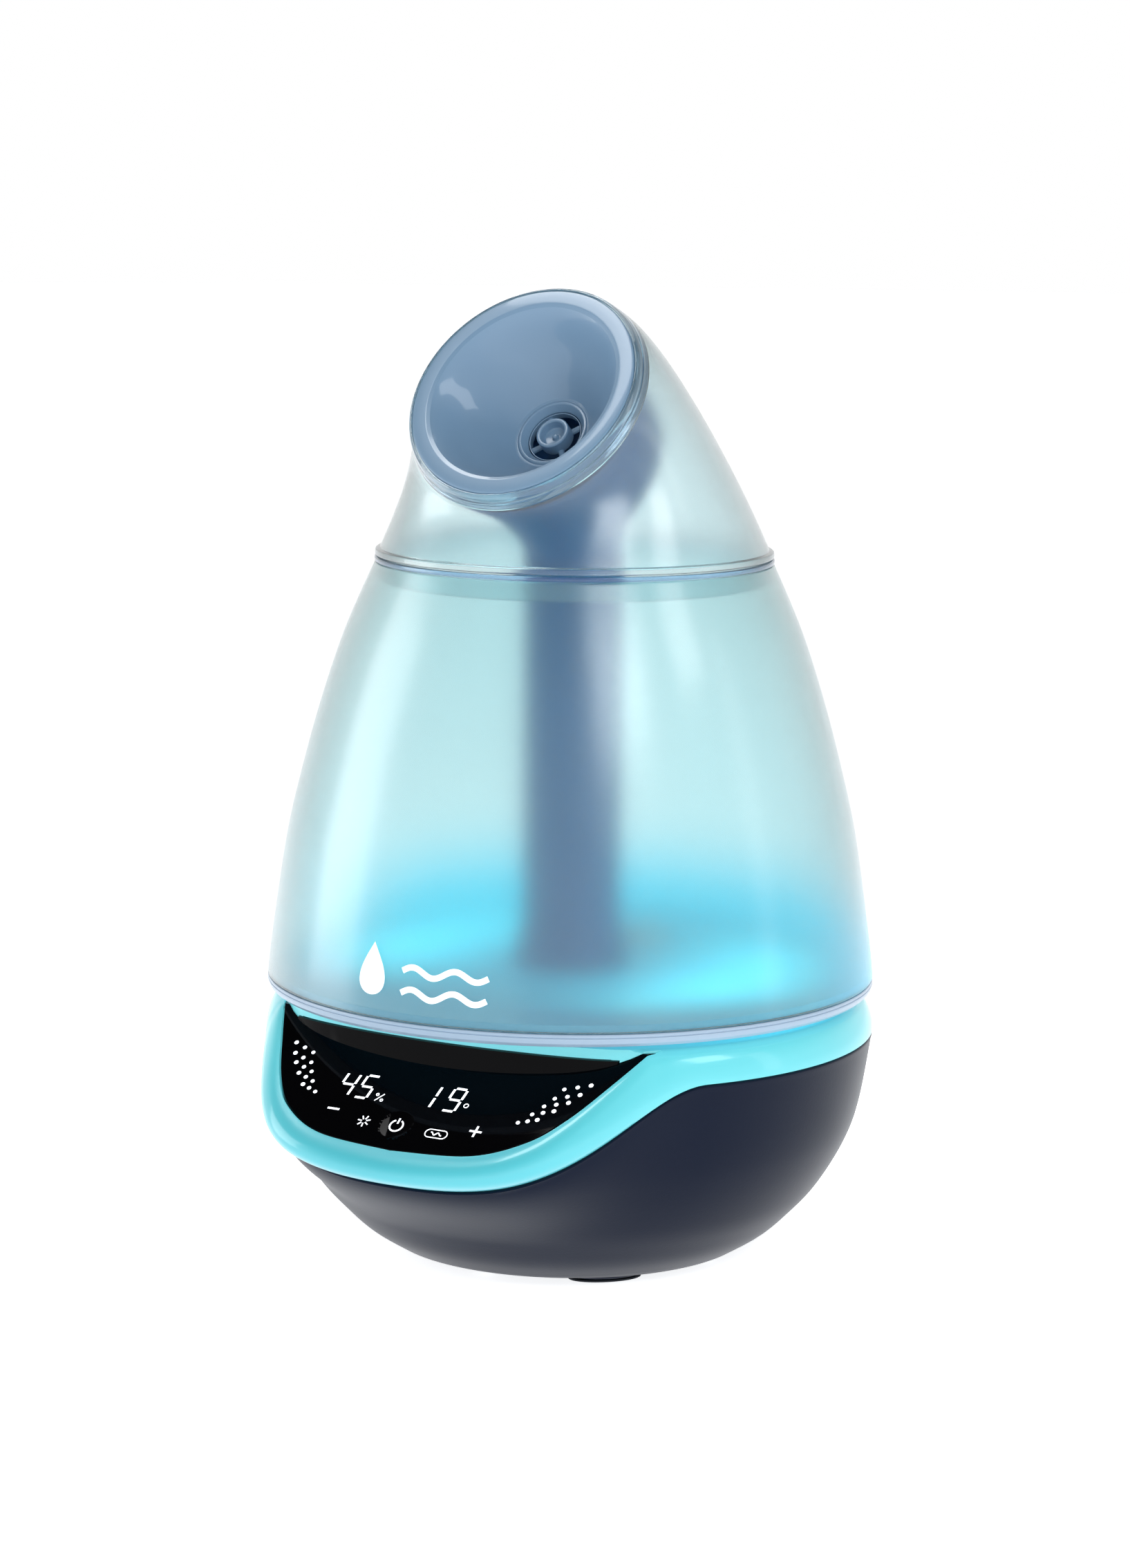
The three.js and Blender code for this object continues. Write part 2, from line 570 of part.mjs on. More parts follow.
// Meridian of a hood that rises from a level circle and ends on the tilted mouth.
function hoodPoint(angle, t, seat, end, pull) {
  const ahead = (1 + Math.cos(angle)) / 2;
  const radial = new THREE.Vector3(Math.sin(angle), -Math.cos(angle), 0);
  const across = new THREE.Vector3(Math.sin(angle), 0, 0).addScaledVector(mouthDown, Math.cos(angle));
  const from = radial.clone().multiplyScalar(seat.radius).setZ(seat.height);
  const to = mouthCentre.clone().addScaledVector(outward, -end.depth).addScaledVector(across, end.radius);
  const mix = ([front, back]) => THREE.MathUtils.lerp(back, front, ahead);
  const rise = radial.clone().multiplyScalar(-seat.lean).setZ(1).normalize().multiplyScalar(mix(pull.start));
  const turn = outward.clone().multiplyScalar(Math.cos(pull.close))
    .addScaledVector(across, -Math.sin(pull.close)).multiplyScalar(mix(pull.end));
  const part = (i) => bezier(t, from.getComponent(i), from.getComponent(i) + rise.getComponent(i) / 3,
    to.getComponent(i) - turn.getComponent(i) / 3, to.getComponent(i));
  return new THREE.Vector3(part(0), part(1), part(2));
}

function hood(outerSeat, outerEnd, thickness, pull, steps, segments) {
  const innerSeat = { ...outerSeat, radius: outerSeat.radius - thickness };
  const innerEnd = { ...outerEnd, radius: outerEnd.radius - thickness };
  return shapedTurn((angle) => {
    const outside = spread(steps + 1, (i) => hoodPoint(angle, i / steps, outerSeat, outerEnd, pull));
    const inside = spread(steps + 1, (i) => hoodPoint(angle, 1 - i / steps, innerSeat, innerEnd, pull));
    return [...outside, ...inside, outside[0]];
  }, segments);
}

place('nozzle_dome', hood(
  { radius: dome.radius, height: dome.base, lean: dome.lean },
  { radius: mouth.radius, depth: trim.depth + fit },
  dome.wall, { start: [20, 130], end: [12, 64], close: 0.3 }, 8, 36,
), 'dome');

place('mist_duct', hood(
  { radius: duct.seat, height: duct.foot, lean: 0.29 }, { radius: duct.end, depth: duct.depth },
  duct.wall, { start: [12, 102], end: [20, 219], close: 0.17 }, 8, 24,
), 'chimney');

// Pieces turned about the mouth's own axis stand in a group tilted to the mouth.
const nozzle = new THREE.Group();
nozzle.position.copy(mouthCentre);
nozzle.rotation.x = Math.PI / 2 - mouth.tilt;
humidifier.add(nozzle);

place('nozzle_trim_ring', turned([
  [trim.inner, -trim.depth], [trim.back, -trim.depth], [trim.front + 0.9, -4], [trim.front, -0.6],
  [trim.front - 0.7, 0], [trim.inner, 0], [trim.inner, -trim.depth],
], 36), 'clear', nozzle);

const bellLine = [[funnel.edge, 0], [33.6, -3], [27.5, -12.5], [19.5, -21.5], [13.6, -27], [11.4, -28.3]];
const bell = curve(bellLine).getPoints(6).map((p) => [p.x, p.y]);
const bellBack = bell.map(([r, z]) => [r + funnel.wall * 0.8, z - funnel.wall]).reverse();
place('nozzle_funnel', turned([
  ...bell, [funnel.hole, -29.2], [funnel.hole, -31.5], ...bellBack, [funnel.rim, -2.2], [funnel.rim, -0.3],
  [funnel.rim - 0.5, 0.2], [funnel.edge + 0.8, 0.2], bell[0],
], 28), 'funnel', nozzle);

const spoke = (i) => new THREE.BoxGeometry(4.6, 2.2, 1.6)
  .translate(7.9, 0, -29.6).rotateZ((i * Math.PI) / 2 + 0.6);
place('outlet_hub', join(
  washer(9.2, funnel.hole - fit, -31.4, -28.8, 20),
  turned([
    [0, -31.2], [6.5, -31.2], [6.5, -26.6], [5.9, -26], [4.6, -26], [4.2, -26.6], [3.2, -29], [0, -29.4],
  ], 16),
  ...spread(4, spoke),
), 'funnel', nozzle);

export default humidifier;
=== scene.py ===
import json
import math

import bmesh
import bpy
from mathutils import Matrix, Vector


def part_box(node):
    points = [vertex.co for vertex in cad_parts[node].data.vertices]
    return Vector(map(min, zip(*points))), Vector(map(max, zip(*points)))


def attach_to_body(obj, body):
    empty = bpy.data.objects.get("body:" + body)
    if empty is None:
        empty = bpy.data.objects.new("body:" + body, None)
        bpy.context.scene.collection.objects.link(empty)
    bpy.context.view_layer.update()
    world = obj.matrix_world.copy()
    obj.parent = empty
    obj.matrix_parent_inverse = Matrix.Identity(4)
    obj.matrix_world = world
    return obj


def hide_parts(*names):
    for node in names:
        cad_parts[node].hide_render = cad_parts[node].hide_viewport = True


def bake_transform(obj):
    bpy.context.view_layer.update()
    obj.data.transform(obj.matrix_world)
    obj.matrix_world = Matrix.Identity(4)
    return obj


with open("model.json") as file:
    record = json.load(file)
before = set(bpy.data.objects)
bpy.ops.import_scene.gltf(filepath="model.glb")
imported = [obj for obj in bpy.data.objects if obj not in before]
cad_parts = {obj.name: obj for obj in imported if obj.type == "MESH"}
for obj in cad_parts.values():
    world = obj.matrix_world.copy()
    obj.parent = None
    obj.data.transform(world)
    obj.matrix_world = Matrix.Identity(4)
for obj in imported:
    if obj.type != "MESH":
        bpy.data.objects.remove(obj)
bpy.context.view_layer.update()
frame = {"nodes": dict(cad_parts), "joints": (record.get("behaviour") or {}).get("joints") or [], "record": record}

# The shapes below are in millimetres round the tank's turning axis, and mm brings them to metres.
mm = 0.001
record = frame["record"]
bodyOf = {node: body for body, nodes in record["behaviour"]["bodies"].items() for node in nodes}
slotOf = {part["node"]: part["material_slot"] for part in record["subparts"]}
turnJoint = next(joint for joint in frame["joints"] if joint["name"] == "nozzle_turn")
axisY = turnJoint["pos_m"][1]


def low(node):
    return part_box(node)[0].z / mm


def high(node):
    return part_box(node)[1].z / mm


print("frame loaded:", len(frame["nodes"]), "nodes")


# mesh helpers

def smoothstep(t):
    t = min(max(t, 0), 1)
    return t * t * (3 - 2 * t)


def mix(a, b, t):
    return a + (b - a) * t


def bezier(t, a, b, c, d):
    return (1 - t) ** 3 * a + 3 * t * (1 - t) ** 2 * b + 3 * t * t * (1 - t) * c + t ** 3 * d


def spline(points, steps=8):
    # a smooth line through the points
    line = []
    last = len(points) - 1
    for i in range(last):
        before, here, there, after = (
            Vector(points[k]) for k in (max(i - 1, 0), i, i + 1, min(i + 2, last)))
        leave = (there - before) * 0.5
        arrive = (after - here) * 0.5
        for k in range(steps):
            t = k / steps
            line.append((2 * here - 2 * there + leave + arrive) * t ** 3
                        + (3 * there - 3 * here - 2 * leave - arrive) * t * t + leave * t + here)
    line.append(Vector(points[last]))
    return line


def rounded(points, radius=0.4, steps=4):
    # a closed outline with its corners rounded; a point's third number is a radius of its own
    line = []
    nearlyStraight = 2.9
    for i, point in enumerate(points):
        here = Vector(point[:2])
        before = Vector(points[i - 1][:2]) - here
        after = Vector(points[(i + 1) % len(points)][:2]) - here
        own = point[2] if len(point) > 2 else radius
        if before.length < 1e-6 or after.length < 1e-6 or here.x == 0 or own == 0:
            line.append(here)
            continue
        bend = before.angle(after)
        if bend > nearlyStraight:
            line.append(here)
            continue
        reach = min(own / math.tan(bend / 2), before.length * 0.45, after.length * 0.45)
        start = here + before.normalized() * reach
        end = here + after.normalized() * reach
        for k in range(steps + 1):
            t = k / steps
            line.append(start.lerp(here, t).lerp(here.lerp(end, t), t))
    return line


def build(name, points, faces, keepEdges=34):
    # millimetres in; welds doubled points, turns the faces outwards and keeps the real edges crisp
    mesh = bpy.data.meshes.new(name)
    mesh.from_pydata([(p.x * mm, p.y * mm + axisY, p.z * mm) for p in points], [], faces)
    shape = bmesh.new()
    shape.from_mesh(mesh)
    bmesh.ops.remove_doubles(shape, verts=shape.verts, dist=2e-6)
    bmesh.ops.dissolve_degenerate(shape, edges=shape.edges, dist=1e-6)
    bmesh.ops.recalc_face_normals(shape, faces=shape.faces)
    shape.to_mesh(mesh)
    shape.free()
    piece = bpy.data.objects.new(name, mesh)
    bpy.context.scene.collection.objects.link(piece)
    return soften(piece, keepEdges)


def soften(piece, keepEdges=34):
    piece.data.polygons.foreach_set("use_smooth", [True] * len(piece.data.polygons))
    piece.data.set_sharp_from_angle(angle=math.radians(keepEdges))
    return piece


def swept(name, sections, keepEdges=34):
    # joins closed sections, one after another and back to the first
    count = len(sections[0])
    points = [p for section in sections for p in section]
    faces = []
    for i in range(len(sections)):
        j = (i + 1) % len(sections)
        for k in range(count):
            n = (k + 1) % count
            faces.append((i * count + k, j * count + k, j * count + n, i * count + n))
    return build(name, points, faces, keepEdges)


def capped(name, loops):
    # joins closed loops one after another and closes both ends
    sides = len(loops[0])
    points = [p for loop in loops for p in loop]
    last = len(points) - sides
    faces = [(row + k, row + (k + 1) % sides, row + sides + (k + 1) % sides, row + sides + k)
             for row in range(0, last, sides) for k in range(sides)]
    faces += [tuple(range(sides)), tuple(range(last, last + sides))]
    return build(name, points, faces)


def around(radius, angle, z=0):
    # angles run from the front towards +X
    return Vector((radius * math.sin(angle), -radius * math.cos(angle), z))


def turned(name, outline, x=0, y=0, segments=128, stand=Matrix.Identity(4), keepEdges=34):
    centre = Vector((x, y, 0))
    sections = []
    for i in range(segments):
        angle = 2 * math.pi * i / segments
        sections.append([stand @ (around(r, angle, z) + centre) for r, z in outline])
    return swept(name, sections, keepEdges)


def shaped(name, sectionAt, segments, keepEdges=34):
    # a turned piece whose section changes with the angle from the front
    sections = []
    for i in range(segments):
        angle = 2 * math.pi * i / segments
        sections.append([around(p[0], angle, p[1]) if len(p) == 2 else p for p in sectionAt(angle)])
    return swept(name, sections, keepEdges)


def prism(name, outline, lowAt, highAt, foldY=None):
    # a vertical prism between two height functions of y, with a fold line across both ends
    shape = bmesh.new()
    bottom = [shape.verts.new((p[0], p[1], 0)) for p in outline]
    face = shape.faces.new(bottom)
    top = bmesh.ops.extrude_face_region(shape, geom=[face])["geom"]
    for vert in (v for v in top if isinstance(v, bmesh.types.BMVert)):
        vert.co.z = 1
    if foldY is not None:
        everything = shape.verts[:] + shape.edges[:] + shape.faces[:]
        bmesh.ops.bisect_plane(shape, geom=everything, plane_co=(0, foldY, 0), plane_no=(0, 1, 0))
    for vert in shape.verts:
        vert.co.z = (lowAt if vert.co.z < 0.5 else highAt)(vert.co.y)
    points = [v.co.copy() for v in shape.verts]
    shape.verts.index_update()
    faces = [[v.index for v in f.verts] for f in shape.faces]
    shape.free()
    return build(name, points, faces)


def block(name, width, depth, height, x, y, bottom):
    outline = [(x + width / 2 * i, y + depth / 2 * j) for i, j in ((-1, -1), (1, -1), (1, 1), (-1, 1))]
    return prism(name, outline, lambda _: bottom, lambda _: bottom + height)


def carve(piece, tools, operation="DIFFERENCE"):
    # cuts the tools out of the piece, or joins or crosses them with it, and clears them away
    for tool in tools:
        change = piece.modifiers.new("carve", "BOOLEAN")
        change.operation = operation
        change.solver = "EXACT"
        change.object = tool
    return applied(piece, tools)


def applied(piece, tools=()):
    graph = bpy.context.evaluated_depsgraph_get()
    made = bpy.data.meshes.new_from_object(piece.evaluated_get(graph))
    piece.modifiers.clear()
    piece.data = made
    for tool in tools:
        bpy.data.objects.remove(tool)
    return soften(piece)


def bevelled(piece, width, segments=3, limit=40):
    bevel = piece.modifiers.new("edges", "BEVEL")
    bevel.width = width * mm
    bevel.segments = segments
    bevel.limit_method = "ANGLE"
    bevel.angle_limit = math.radians(limit)
    bevel.use_clamp_overlap = True
    return applied(piece)


def joined(name, pieces):
    shape = bmesh.new()
    for piece in pieces:
        shape.from_mesh(piece.data)
    mesh = bpy.data.meshes.new(name)
    shape.to_mesh(mesh)
    shape.free()
    for piece in pieces:
        bpy.data.objects.remove(piece)
    whole = bpy.data.objects.new(name, mesh)
    bpy.context.scene.collection.objects.link(whole)
    return soften(whole)


def attach(piece, finish, body, slot):
    piece.data.materials.clear()
    piece.data.materials.append(finish)
    even = piece.modifiers.new("even shading", "WEIGHTED_NORMAL")
    even.keep_sharp = True
    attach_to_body(piece, body)
    return piece


def install(piece, finish, *nodes):
    # the piece stands for its CAD nodes and rides with them
    attach(piece, finish, bodyOf[nodes[0]], slotOf[nodes[0]])
    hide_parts(*nodes)
    return piece


# finishes

def tint(red, green, blue):
    # screen colour, 0 to 255, as linear light
    return tuple((c / 255 / 12.92 if c < 10.3 else ((c / 255 + 0.055) / 1.055) ** 2.4)
                 for c in (red, green, blue)) + (1,)


class Wire:
    # a socket that takes part in sums
    def __init__(self, sheet, socket):
        self.sheet = sheet
        self.socket = socket

    def maths(self, operation, *values):
        return self.sheet.node("ShaderNodeMath", {"operation": operation}, dict(enumerate(values)))

    def __add__(self, other):
        return self.maths("ADD", self, other)

    def __radd__(self, other):
        return self.maths("ADD", other, self)

    def __sub__(self, other):
        return self.maths("SUBTRACT", self, other)

    def __rsub__(self, other):
        return self.maths("SUBTRACT", other, self)

    def __mul__(self, other):
        return self.maths("MULTIPLY", self, other)

    def __rmul__(self, other):
        return self.maths("MULTIPLY", other, self)

    def __truediv__(self, other):
        return self.maths("DIVIDE", self, other)

    def __rtruediv__(self, other):
        return self.maths("DIVIDE", other, self)

    def __pow__(self, other):
        return self.maths("POWER", self, other)

    def __rpow__(self, other):
        return self.maths("POWER", other, self)

    def __lt__(self, other):
        return self.maths("LESS_THAN", self, other)

    def __gt__(self, other):
        return self.maths("GREATER_THAN", self, other)

    def clamped(self):
        return self.maths("MAXIMUM", self.maths("MINIMUM", self, 1.0), 0.0)


class Sheet:
    # a node tree and the one method that adds a node to it
    def __init__(self, tree):
        self.tree = tree

    def node(self, kind, settings=None, sockets=None, output=0):
        made = self.tree.nodes.new(kind)
        for key, value in (settings or {}).items():
            if key == "stops":
                self.setStops(made.color_ramp, value)
            else:
                setattr(made, key, value)
        for key, value in (sockets or {}).items():
            self.feed(made.inputs[key], value)
        return Wire(self, made.outputs[output])

    def setStops(self, ramp, stops):
        while len(ramp.elements) < len(stops):
            ramp.elements.new(1.0)
        for element, (place, colour) in zip(ramp.elements, stops):
            element.position = place
            element.color = colour

    def feed(self, socket, value):
        if isinstance(value, Wire):
            self.tree.links.new(value.socket, socket)
        else:
            socket.default_value = value


class Paint(Sheet):
    # one material's node tree, ending in a Principled shader
    def __init__(self, name, fixed):
        self.material = bpy.data.materials.new(name)
        self.material.use_nodes = True
        super().__init__(self.material.node_tree)
        self.tree.nodes.clear()
        self.shader = self.tree.nodes.new("ShaderNodeBsdfPrincipled")
        output = self.tree.nodes.new("ShaderNodeOutputMaterial")
        self.tree.links.new(self.shader.outputs[0], output.inputs["Surface"])
        for socket, value in fixed.items():
            self.shader.inputs[socket].default_value = value

    def vary(self, **links):
        for key, value in links.items():
            self.feed(self.shader.inputs[key.replace("_", " ")], value)

    def place(self):
        return self.node("ShaderNodeTexCoord", output="Object")

    def axis(self, letter):
        return self.node("ShaderNodeSeparateXYZ", sockets={0: self.place()}, output=letter)

    def vector(self, operation, first, second=(0, 0, 0), output="Vector"):
        return self.node("ShaderNodeVectorMath", {"operation": operation}, {0: first, 1: second}, output)

    def fromAxis(self):
        # distance from the tank's turning axis
        across = self.vector("MULTIPLY", self.vector("SUBTRACT", self.place(), (0, axisY, 0)), (1, 1, 0))
        return self.vector("LENGTH", across, output="Value")

    def noise(self, scale, detail=2.0, roughness=0.5, stretch=None):
        where = self.vector("MULTIPLY", self.place(), stretch) if stretch else self.place()
        return self.node("ShaderNodeTexNoise", sockets={
            "Vector": where, "Scale": scale, "Detail": detail, "Roughness": roughness})

    def blend(self, factor, first, second):
        # colours go through a Mix node
        return self.node("ShaderNodeMix", {"data_type": "RGBA"}, {0: factor, 6: first, 7: second}, output=2)

    def bump(self, height, depth, strength=1.0):
        return self.node("ShaderNodeBump", sockets={
            "Height": height, "Distance": depth * mm, "Strength": strength})


def mouldedPlastic(name, colour, shade, roughness, grain, coat=0.0, specular=0.5, sheen=(1, 1, 1, 1)):
    # moulded plastic: faint flow tone, a fine spark-eroded grain and uneven gloss
    paint = Paint(name, {"Specular IOR Level": specular, "Specular Tint": sheen, "Coat Weight": coat,
                         "Coat Roughness": 0.06})
    flow = paint.noise(14, 3)
    fine = paint.noise(900, 2, 0.6)
    paint.vary(Base_Color=paint.blend((flow * 1.4 - 0.2).clamped(), colour, shade),
               Roughness=roughness + (flow - 0.5) * 0.1,
               Normal=paint.bump(fine, grain))
    return paint.material


def frostedPlastic(name, wall, roughness, coat, coatRoughness, glow=None, milk=0.0):
    # translucent wall: rough glass that blurs what stands behind it, with a little milkiness
    paint = Paint(name, {"Transmission Weight": 1.0 - milk, "IOR": 1.45, "Coat Weight": coat,
                         "Coat Roughness": coatRoughness, "Specular IOR Level": 0.5})
    flow = paint.noise(9, 2)
    tone = paint.blend(flow, wall["colour"], wall["shade"])
    if glow:
        # lit from the foot upwards, and only towards the back
        rise = (1.0 - (paint.axis("Z") - glow["from"] * mm) / (glow["reach"] * mm)).clamped() ** glow["fall"]
        rise = rise * ((paint.axis("Y") + 0.01) / 0.07).clamped()
        tone = paint.blend((rise * 1.6).clamped(), tone, glow["tone"])
        paint.vary(Emission_Color=paint.blend(rise, (0, 0, 0, 1), glow["colour"]))
        paint.shader.inputs["Emission Strength"].default_value = glow["strength"]
    paint.vary(Base_Color=tone, Roughness=roughness + (flow - 0.5) * 0.04)
    return paint.material


def bandPlastic():
    # pale like the tank, deeper blue where its edge shows in the seam
    paint = Paint("neckBand", {"Transmission Weight": 0.92, "IOR": 1.45, "Coat Weight": 0.5,
                               "Coat Roughness": 0.05})
    edge = ((paint.fromAxis() - 70.2 * mm) / mm).clamped()
    drift = paint.noise(30, 2)
    paint.vary(Base_Color=paint.blend(edge, tint(226, 242, 245), tint(132, 168, 212)),
               Roughness=0.16 + drift * 0.05)
    return paint.material


def litRing():
    # cyan diffuser: brighter where the lamps behind it are close, deeper towards its lower edge
    paint = Paint("ringLit", {"Specular IOR Level": 0.5, "Coat Weight": 0.6, "Coat Roughness": 0.08,
                              "Emission Strength": 0.36})
    height = paint.axis("Z")
    drift = paint.noise(11, 2)
    level = ((height - 0.046) / 0.05 + (drift - 0.5) * 0.5).clamped()
    paint.vary(Base_Color=paint.blend(level, tint(56, 160, 174), tint(84, 188, 198)),
               Roughness=0.3 + (drift - 0.5) * 0.1,
               Emission_Color=paint.blend(level, tint(90, 196, 210), tint(128, 228, 234)))
    return paint.material


def litFloor():
    # the tank's floor, lit from the lamps under its rim
    paint = Paint("floorLit", {"Specular IOR Level": 0.4, "Emission Strength": 1.2, "Coat Weight": 0.1})
    glow = paint.node("ShaderNodeValToRGB", {"stops": [
        (0.10, (0.02, 0.10, 0.16, 1)), (0.34, (0.05, 0.66, 0.86, 1)), (0.66, (0.10, 0.84, 0.98, 1)),
        (0.92, (0.03, 0.22, 0.30, 1))]}, {0: paint.fromAxis() / 0.11})
    # brightest at the two sides, and darker towards the front
    aside = ((paint.axis("X") / 0.055) ** 2).clamped()
    behind = ((paint.axis("Y") + 0.075) / 0.07).clamped()
    lit = (aside * 0.8 + 0.2) * behind
    drift = paint.noise(20, 2)
    paint.vary(Base_Color=paint.blend(lit, tint(84, 134, 160), tint(40, 178, 205)),
               Roughness=0.35 + drift * 0.1,
               Emission_Color=paint.blend(lit, (0.03, 0.16, 0.24, 1), glow))
    return paint.material


def blackGlass():
    paint = Paint("displayBlack", {"Specular IOR Level": 0.06})
    smudge = paint.noise(26, 4, 0.6)
    paint.vary(Base_Color=paint.blend(smudge, tint(2, 2, 3), tint(5, 5, 7)), Roughness=0.03 + smudge * 0.03)
    return paint.material


def brushedMetal(name, colour, shade, grain):
    paint = Paint(name, {"Metallic": 1.0})
    lines = paint.noise(420, 3, 0.6, stretch=(1, 1, 12))
    paint.vary(Base_Color=paint.blend(lines, colour, shade), Roughness=0.28 + lines * 0.18,
               Normal=paint.bump(lines, grain))
    return paint.material


def circuitBoard():
    # solder mask over faint copper tracks, with plated dots
    paint = Paint("circuitGreen", {"Specular IOR Level": 0.5, "Coat Weight": 0.3, "Coat Roughness": 0.15})
    cells = paint.node("ShaderNodeTexVoronoi", {"feature": "F1", "distance": "MANHATTAN"},
                       {"Vector": paint.place(), "Scale": 260.0})
    tracks = paint.node("ShaderNodeTexBrick", {"offset": 0.5}, {
        "Vector": paint.place(), "Scale": 190.0, "Mortar Size": 0.03, "Color1": tint(22, 92, 58),
        "Color2": tint(26, 100, 64), "Mortar": tint(44, 132, 84)})
    pads = cells < 0.16
    paint.vary(Base_Color=paint.blend(pads, tracks, tint(196, 178, 120)), Roughness=0.42 - pads * 0.15,
               Normal=paint.bump(pads, 0.04))
    return paint.material


def softFelt():
    paint = Paint("feltPad", {"Sheen Weight": 0.6, "Specular IOR Level": 0.1})
    fibres = paint.noise(1600, 4, 0.7, stretch=(1, 3, 1))
    paint.vary(Base_Color=paint.blend(fibres, tint(232, 228, 214), tint(206, 202, 188)),
               Roughness=0.95 - fibres * 0.1, Normal=paint.bump(fibres, 0.25))
    return paint.material


def lampWhite(name, strength, colour):
    # lit legends: a little uneven in brightness, as an LED mask is
    paint = Paint(name, {"Specular IOR Level": 0.2, "Emission Strength": strength})
    drift = paint.noise(500, 1)
    paint.vary(Base_Color=paint.blend(drift, colour, tint(236, 240, 244)), Roughness=0.5 + drift * 0.05,
               Emission_Color=paint.blend(drift, colour, tint(226, 232, 240)))
    return paint.material


finishes = {
    "tank": frostedPlastic(
        "tankFrosted", {"colour": tint(224, 246, 247), "shade": tint(214, 238, 240)}, 0.25, 0.4, 0.16,
        {"from": 101, "reach": 42, "fall": 1.5, "colour": tint(40, 205, 235), "tone": tint(22, 198, 224),
         "strength": 0.2}, milk=0.03),
    "dome": frostedPlastic(
        "domeFrosted", {"colour": tint(238, 250, 251), "shade": tint(232, 247, 249)}, 0.22, 0.4, 0.14,
        milk=0.03),
    "clear": frostedPlastic(
        "trimClear", {"colour": tint(176, 208, 226), "shade": tint(168, 202, 222)}, 0.07, 0.8, 0.03,
        milk=0.15),
    "band": bandPlastic(),
    "collar": mouldedPlastic("collarSatin", tint(160, 182, 204), tint(150, 174, 198), 0.3, 0.02, coat=0.3),
    "funnel": mouldedPlastic("funnelSatin", tint(120, 152, 180), tint(112, 144, 173), 0.4, 0.012, coat=0.45),
    "chimney": mouldedPlastic("chimneyBlue", tint(56, 110, 166), tint(48, 100, 154), 0.42, 0.02),
    "shell": mouldedPlastic("shellSlate", tint(12, 20, 37), tint(9, 16, 32), 0.34, 0.02, specular=0.18,
                            sheen=tint(200, 214, 255)),
    "white": mouldedPlastic("whitePlastic", tint(226, 230, 232), tint(218, 223, 226), 0.45, 0.02),
    "black": mouldedPlastic("blackPlastic", tint(26, 28, 31), tint(20, 22, 25), 0.5, 0.03),
    "rubber": mouldedPlastic("softRubber", tint(40, 44, 52), tint(34, 38, 46), 0.8, 0.05, specular=0.3),
    "ring": litRing(),
    "floor": litFloor(),
    "lens": blackGlass(),
    "metal": brushedMetal("zincBrushed", tint(196, 200, 204), tint(168, 172, 178), 0.01),
    "brass": brushedMetal("brassTurned", tint(206, 172, 96), tint(178, 144, 74), 0.01),
    "board": circuitBoard(),
    "felt": softFelt(),
    "figures": lampWhite("figureWhite", 1.4, tint(250, 252, 255)),
    "signs": lampWhite("signWhite", 1.1, tint(246, 248, 252)),
    # the tank's print is given a faint painted glow, though it is no lamp
    "ink": lampWhite("printWhiteGlowing", 0.35, tint(250, 252, 252)),
}
print("finishes made")


# water tank, its collar, floor and chimney

tank = {
    "outline": [(110.4, 0), (108.7, 15), (103.5, 50), (97.8, 75), (90.9, 100), (82.5, 125), (71.9, 149.4)],
    "wall": 2.4,
    "lip": 0.7,
}
tankLine = spline([(r, z + low("tank_shell")) for r, z in tank["outline"]], 10)


def radiusOn(line, z):
    for under, over in zip(line, line[1:]):
        if over.y >= z:
            return mix(under.x, over.x, (z - under.y) / (over.y - under.y))
    return line[-1].x


def makeTank():
    inside = [Vector((p.x - tank["wall"], p.y)) for p in reversed(tankLine)]
    outline = rounded([*tankLine, *inside], tank["lip"])
    install(turned("tankWall", outline, segments=160), finishes["tank"], "tank_shell")


collar = {"inner": 104, "outer": 110.4, "draft": 1.8, "groove": 0.35}


def makeCollar():
    bottom, top = low("tank_collar"), high("tank_collar")
    outer, groove = collar["outer"], collar["groove"]
    outline = rounded([
        (collar["inner"], bottom), (outer - collar["draft"], bottom), (outer - 0.5, bottom + 1.2, 1),
        (outer, bottom + 2.6, 1), (outer, top - 1.5, 0.2), (outer - groove, top - 1.3, 0.1),
        (outer, top - 1.1, 0.2), (outer, top, 0.5), (collar["inner"], top),
    ], 0.4)
    install(turned("tankCollar", outline, segments=160), finishes["collar"], "tank_collar")


floorPlate = {
    "tube": (16, 18), "step": (85, 88), "stepDown": 6, "edge": 107.4, "edgeThick": 2.4, "plate": 3.4,
    "neckOut": 20, "neckIn": 17.6, "neckDown": 9.2, "neckY": 52,
}


def makeTankFloor():
    f = floorPlate
    bottom, top = low("tank_floor"), high("tank_floor")
    under = top - f["plate"]
    edgeUnder = top - f["edgeThick"]
    stepUnder = under - f["stepDown"]
    plate = turned("tankFloor", rounded([
        (f["tube"][0], bottom), (f["tube"][1], bottom), (f["tube"][1], under, 1), (f["step"][0], under),
        (f["step"][0], stepUnder), (f["step"][1], stepUnder), (f["step"][1], edgeUnder),
        (f["edge"], edgeUnder), (f["edge"], top), (f["tube"][0], top, 1.2),
    ], 0.4))
    neck = turned("valveNeck", [(0, top - f["neckDown"]), (f["neckOut"], top - f["neckDown"]),
                                (f["neckOut"], under + 0.5), (0, under + 0.5)], y=f["neckY"], segments=64)
    bore = turned("valveBore", [(0, bottom), (f["neckIn"], bottom), (f["neckIn"], top + 5), (0, top + 5)],
                  y=f["neckY"], segments=64)
    carve(plate, [neck], "UNION")
    install(carve(plate, [bore]), finishes["floor"], "tank_floor")


chimney = {"radius": 18, "wall": 2, "foot": 21.5, "footHeight": 17.5}


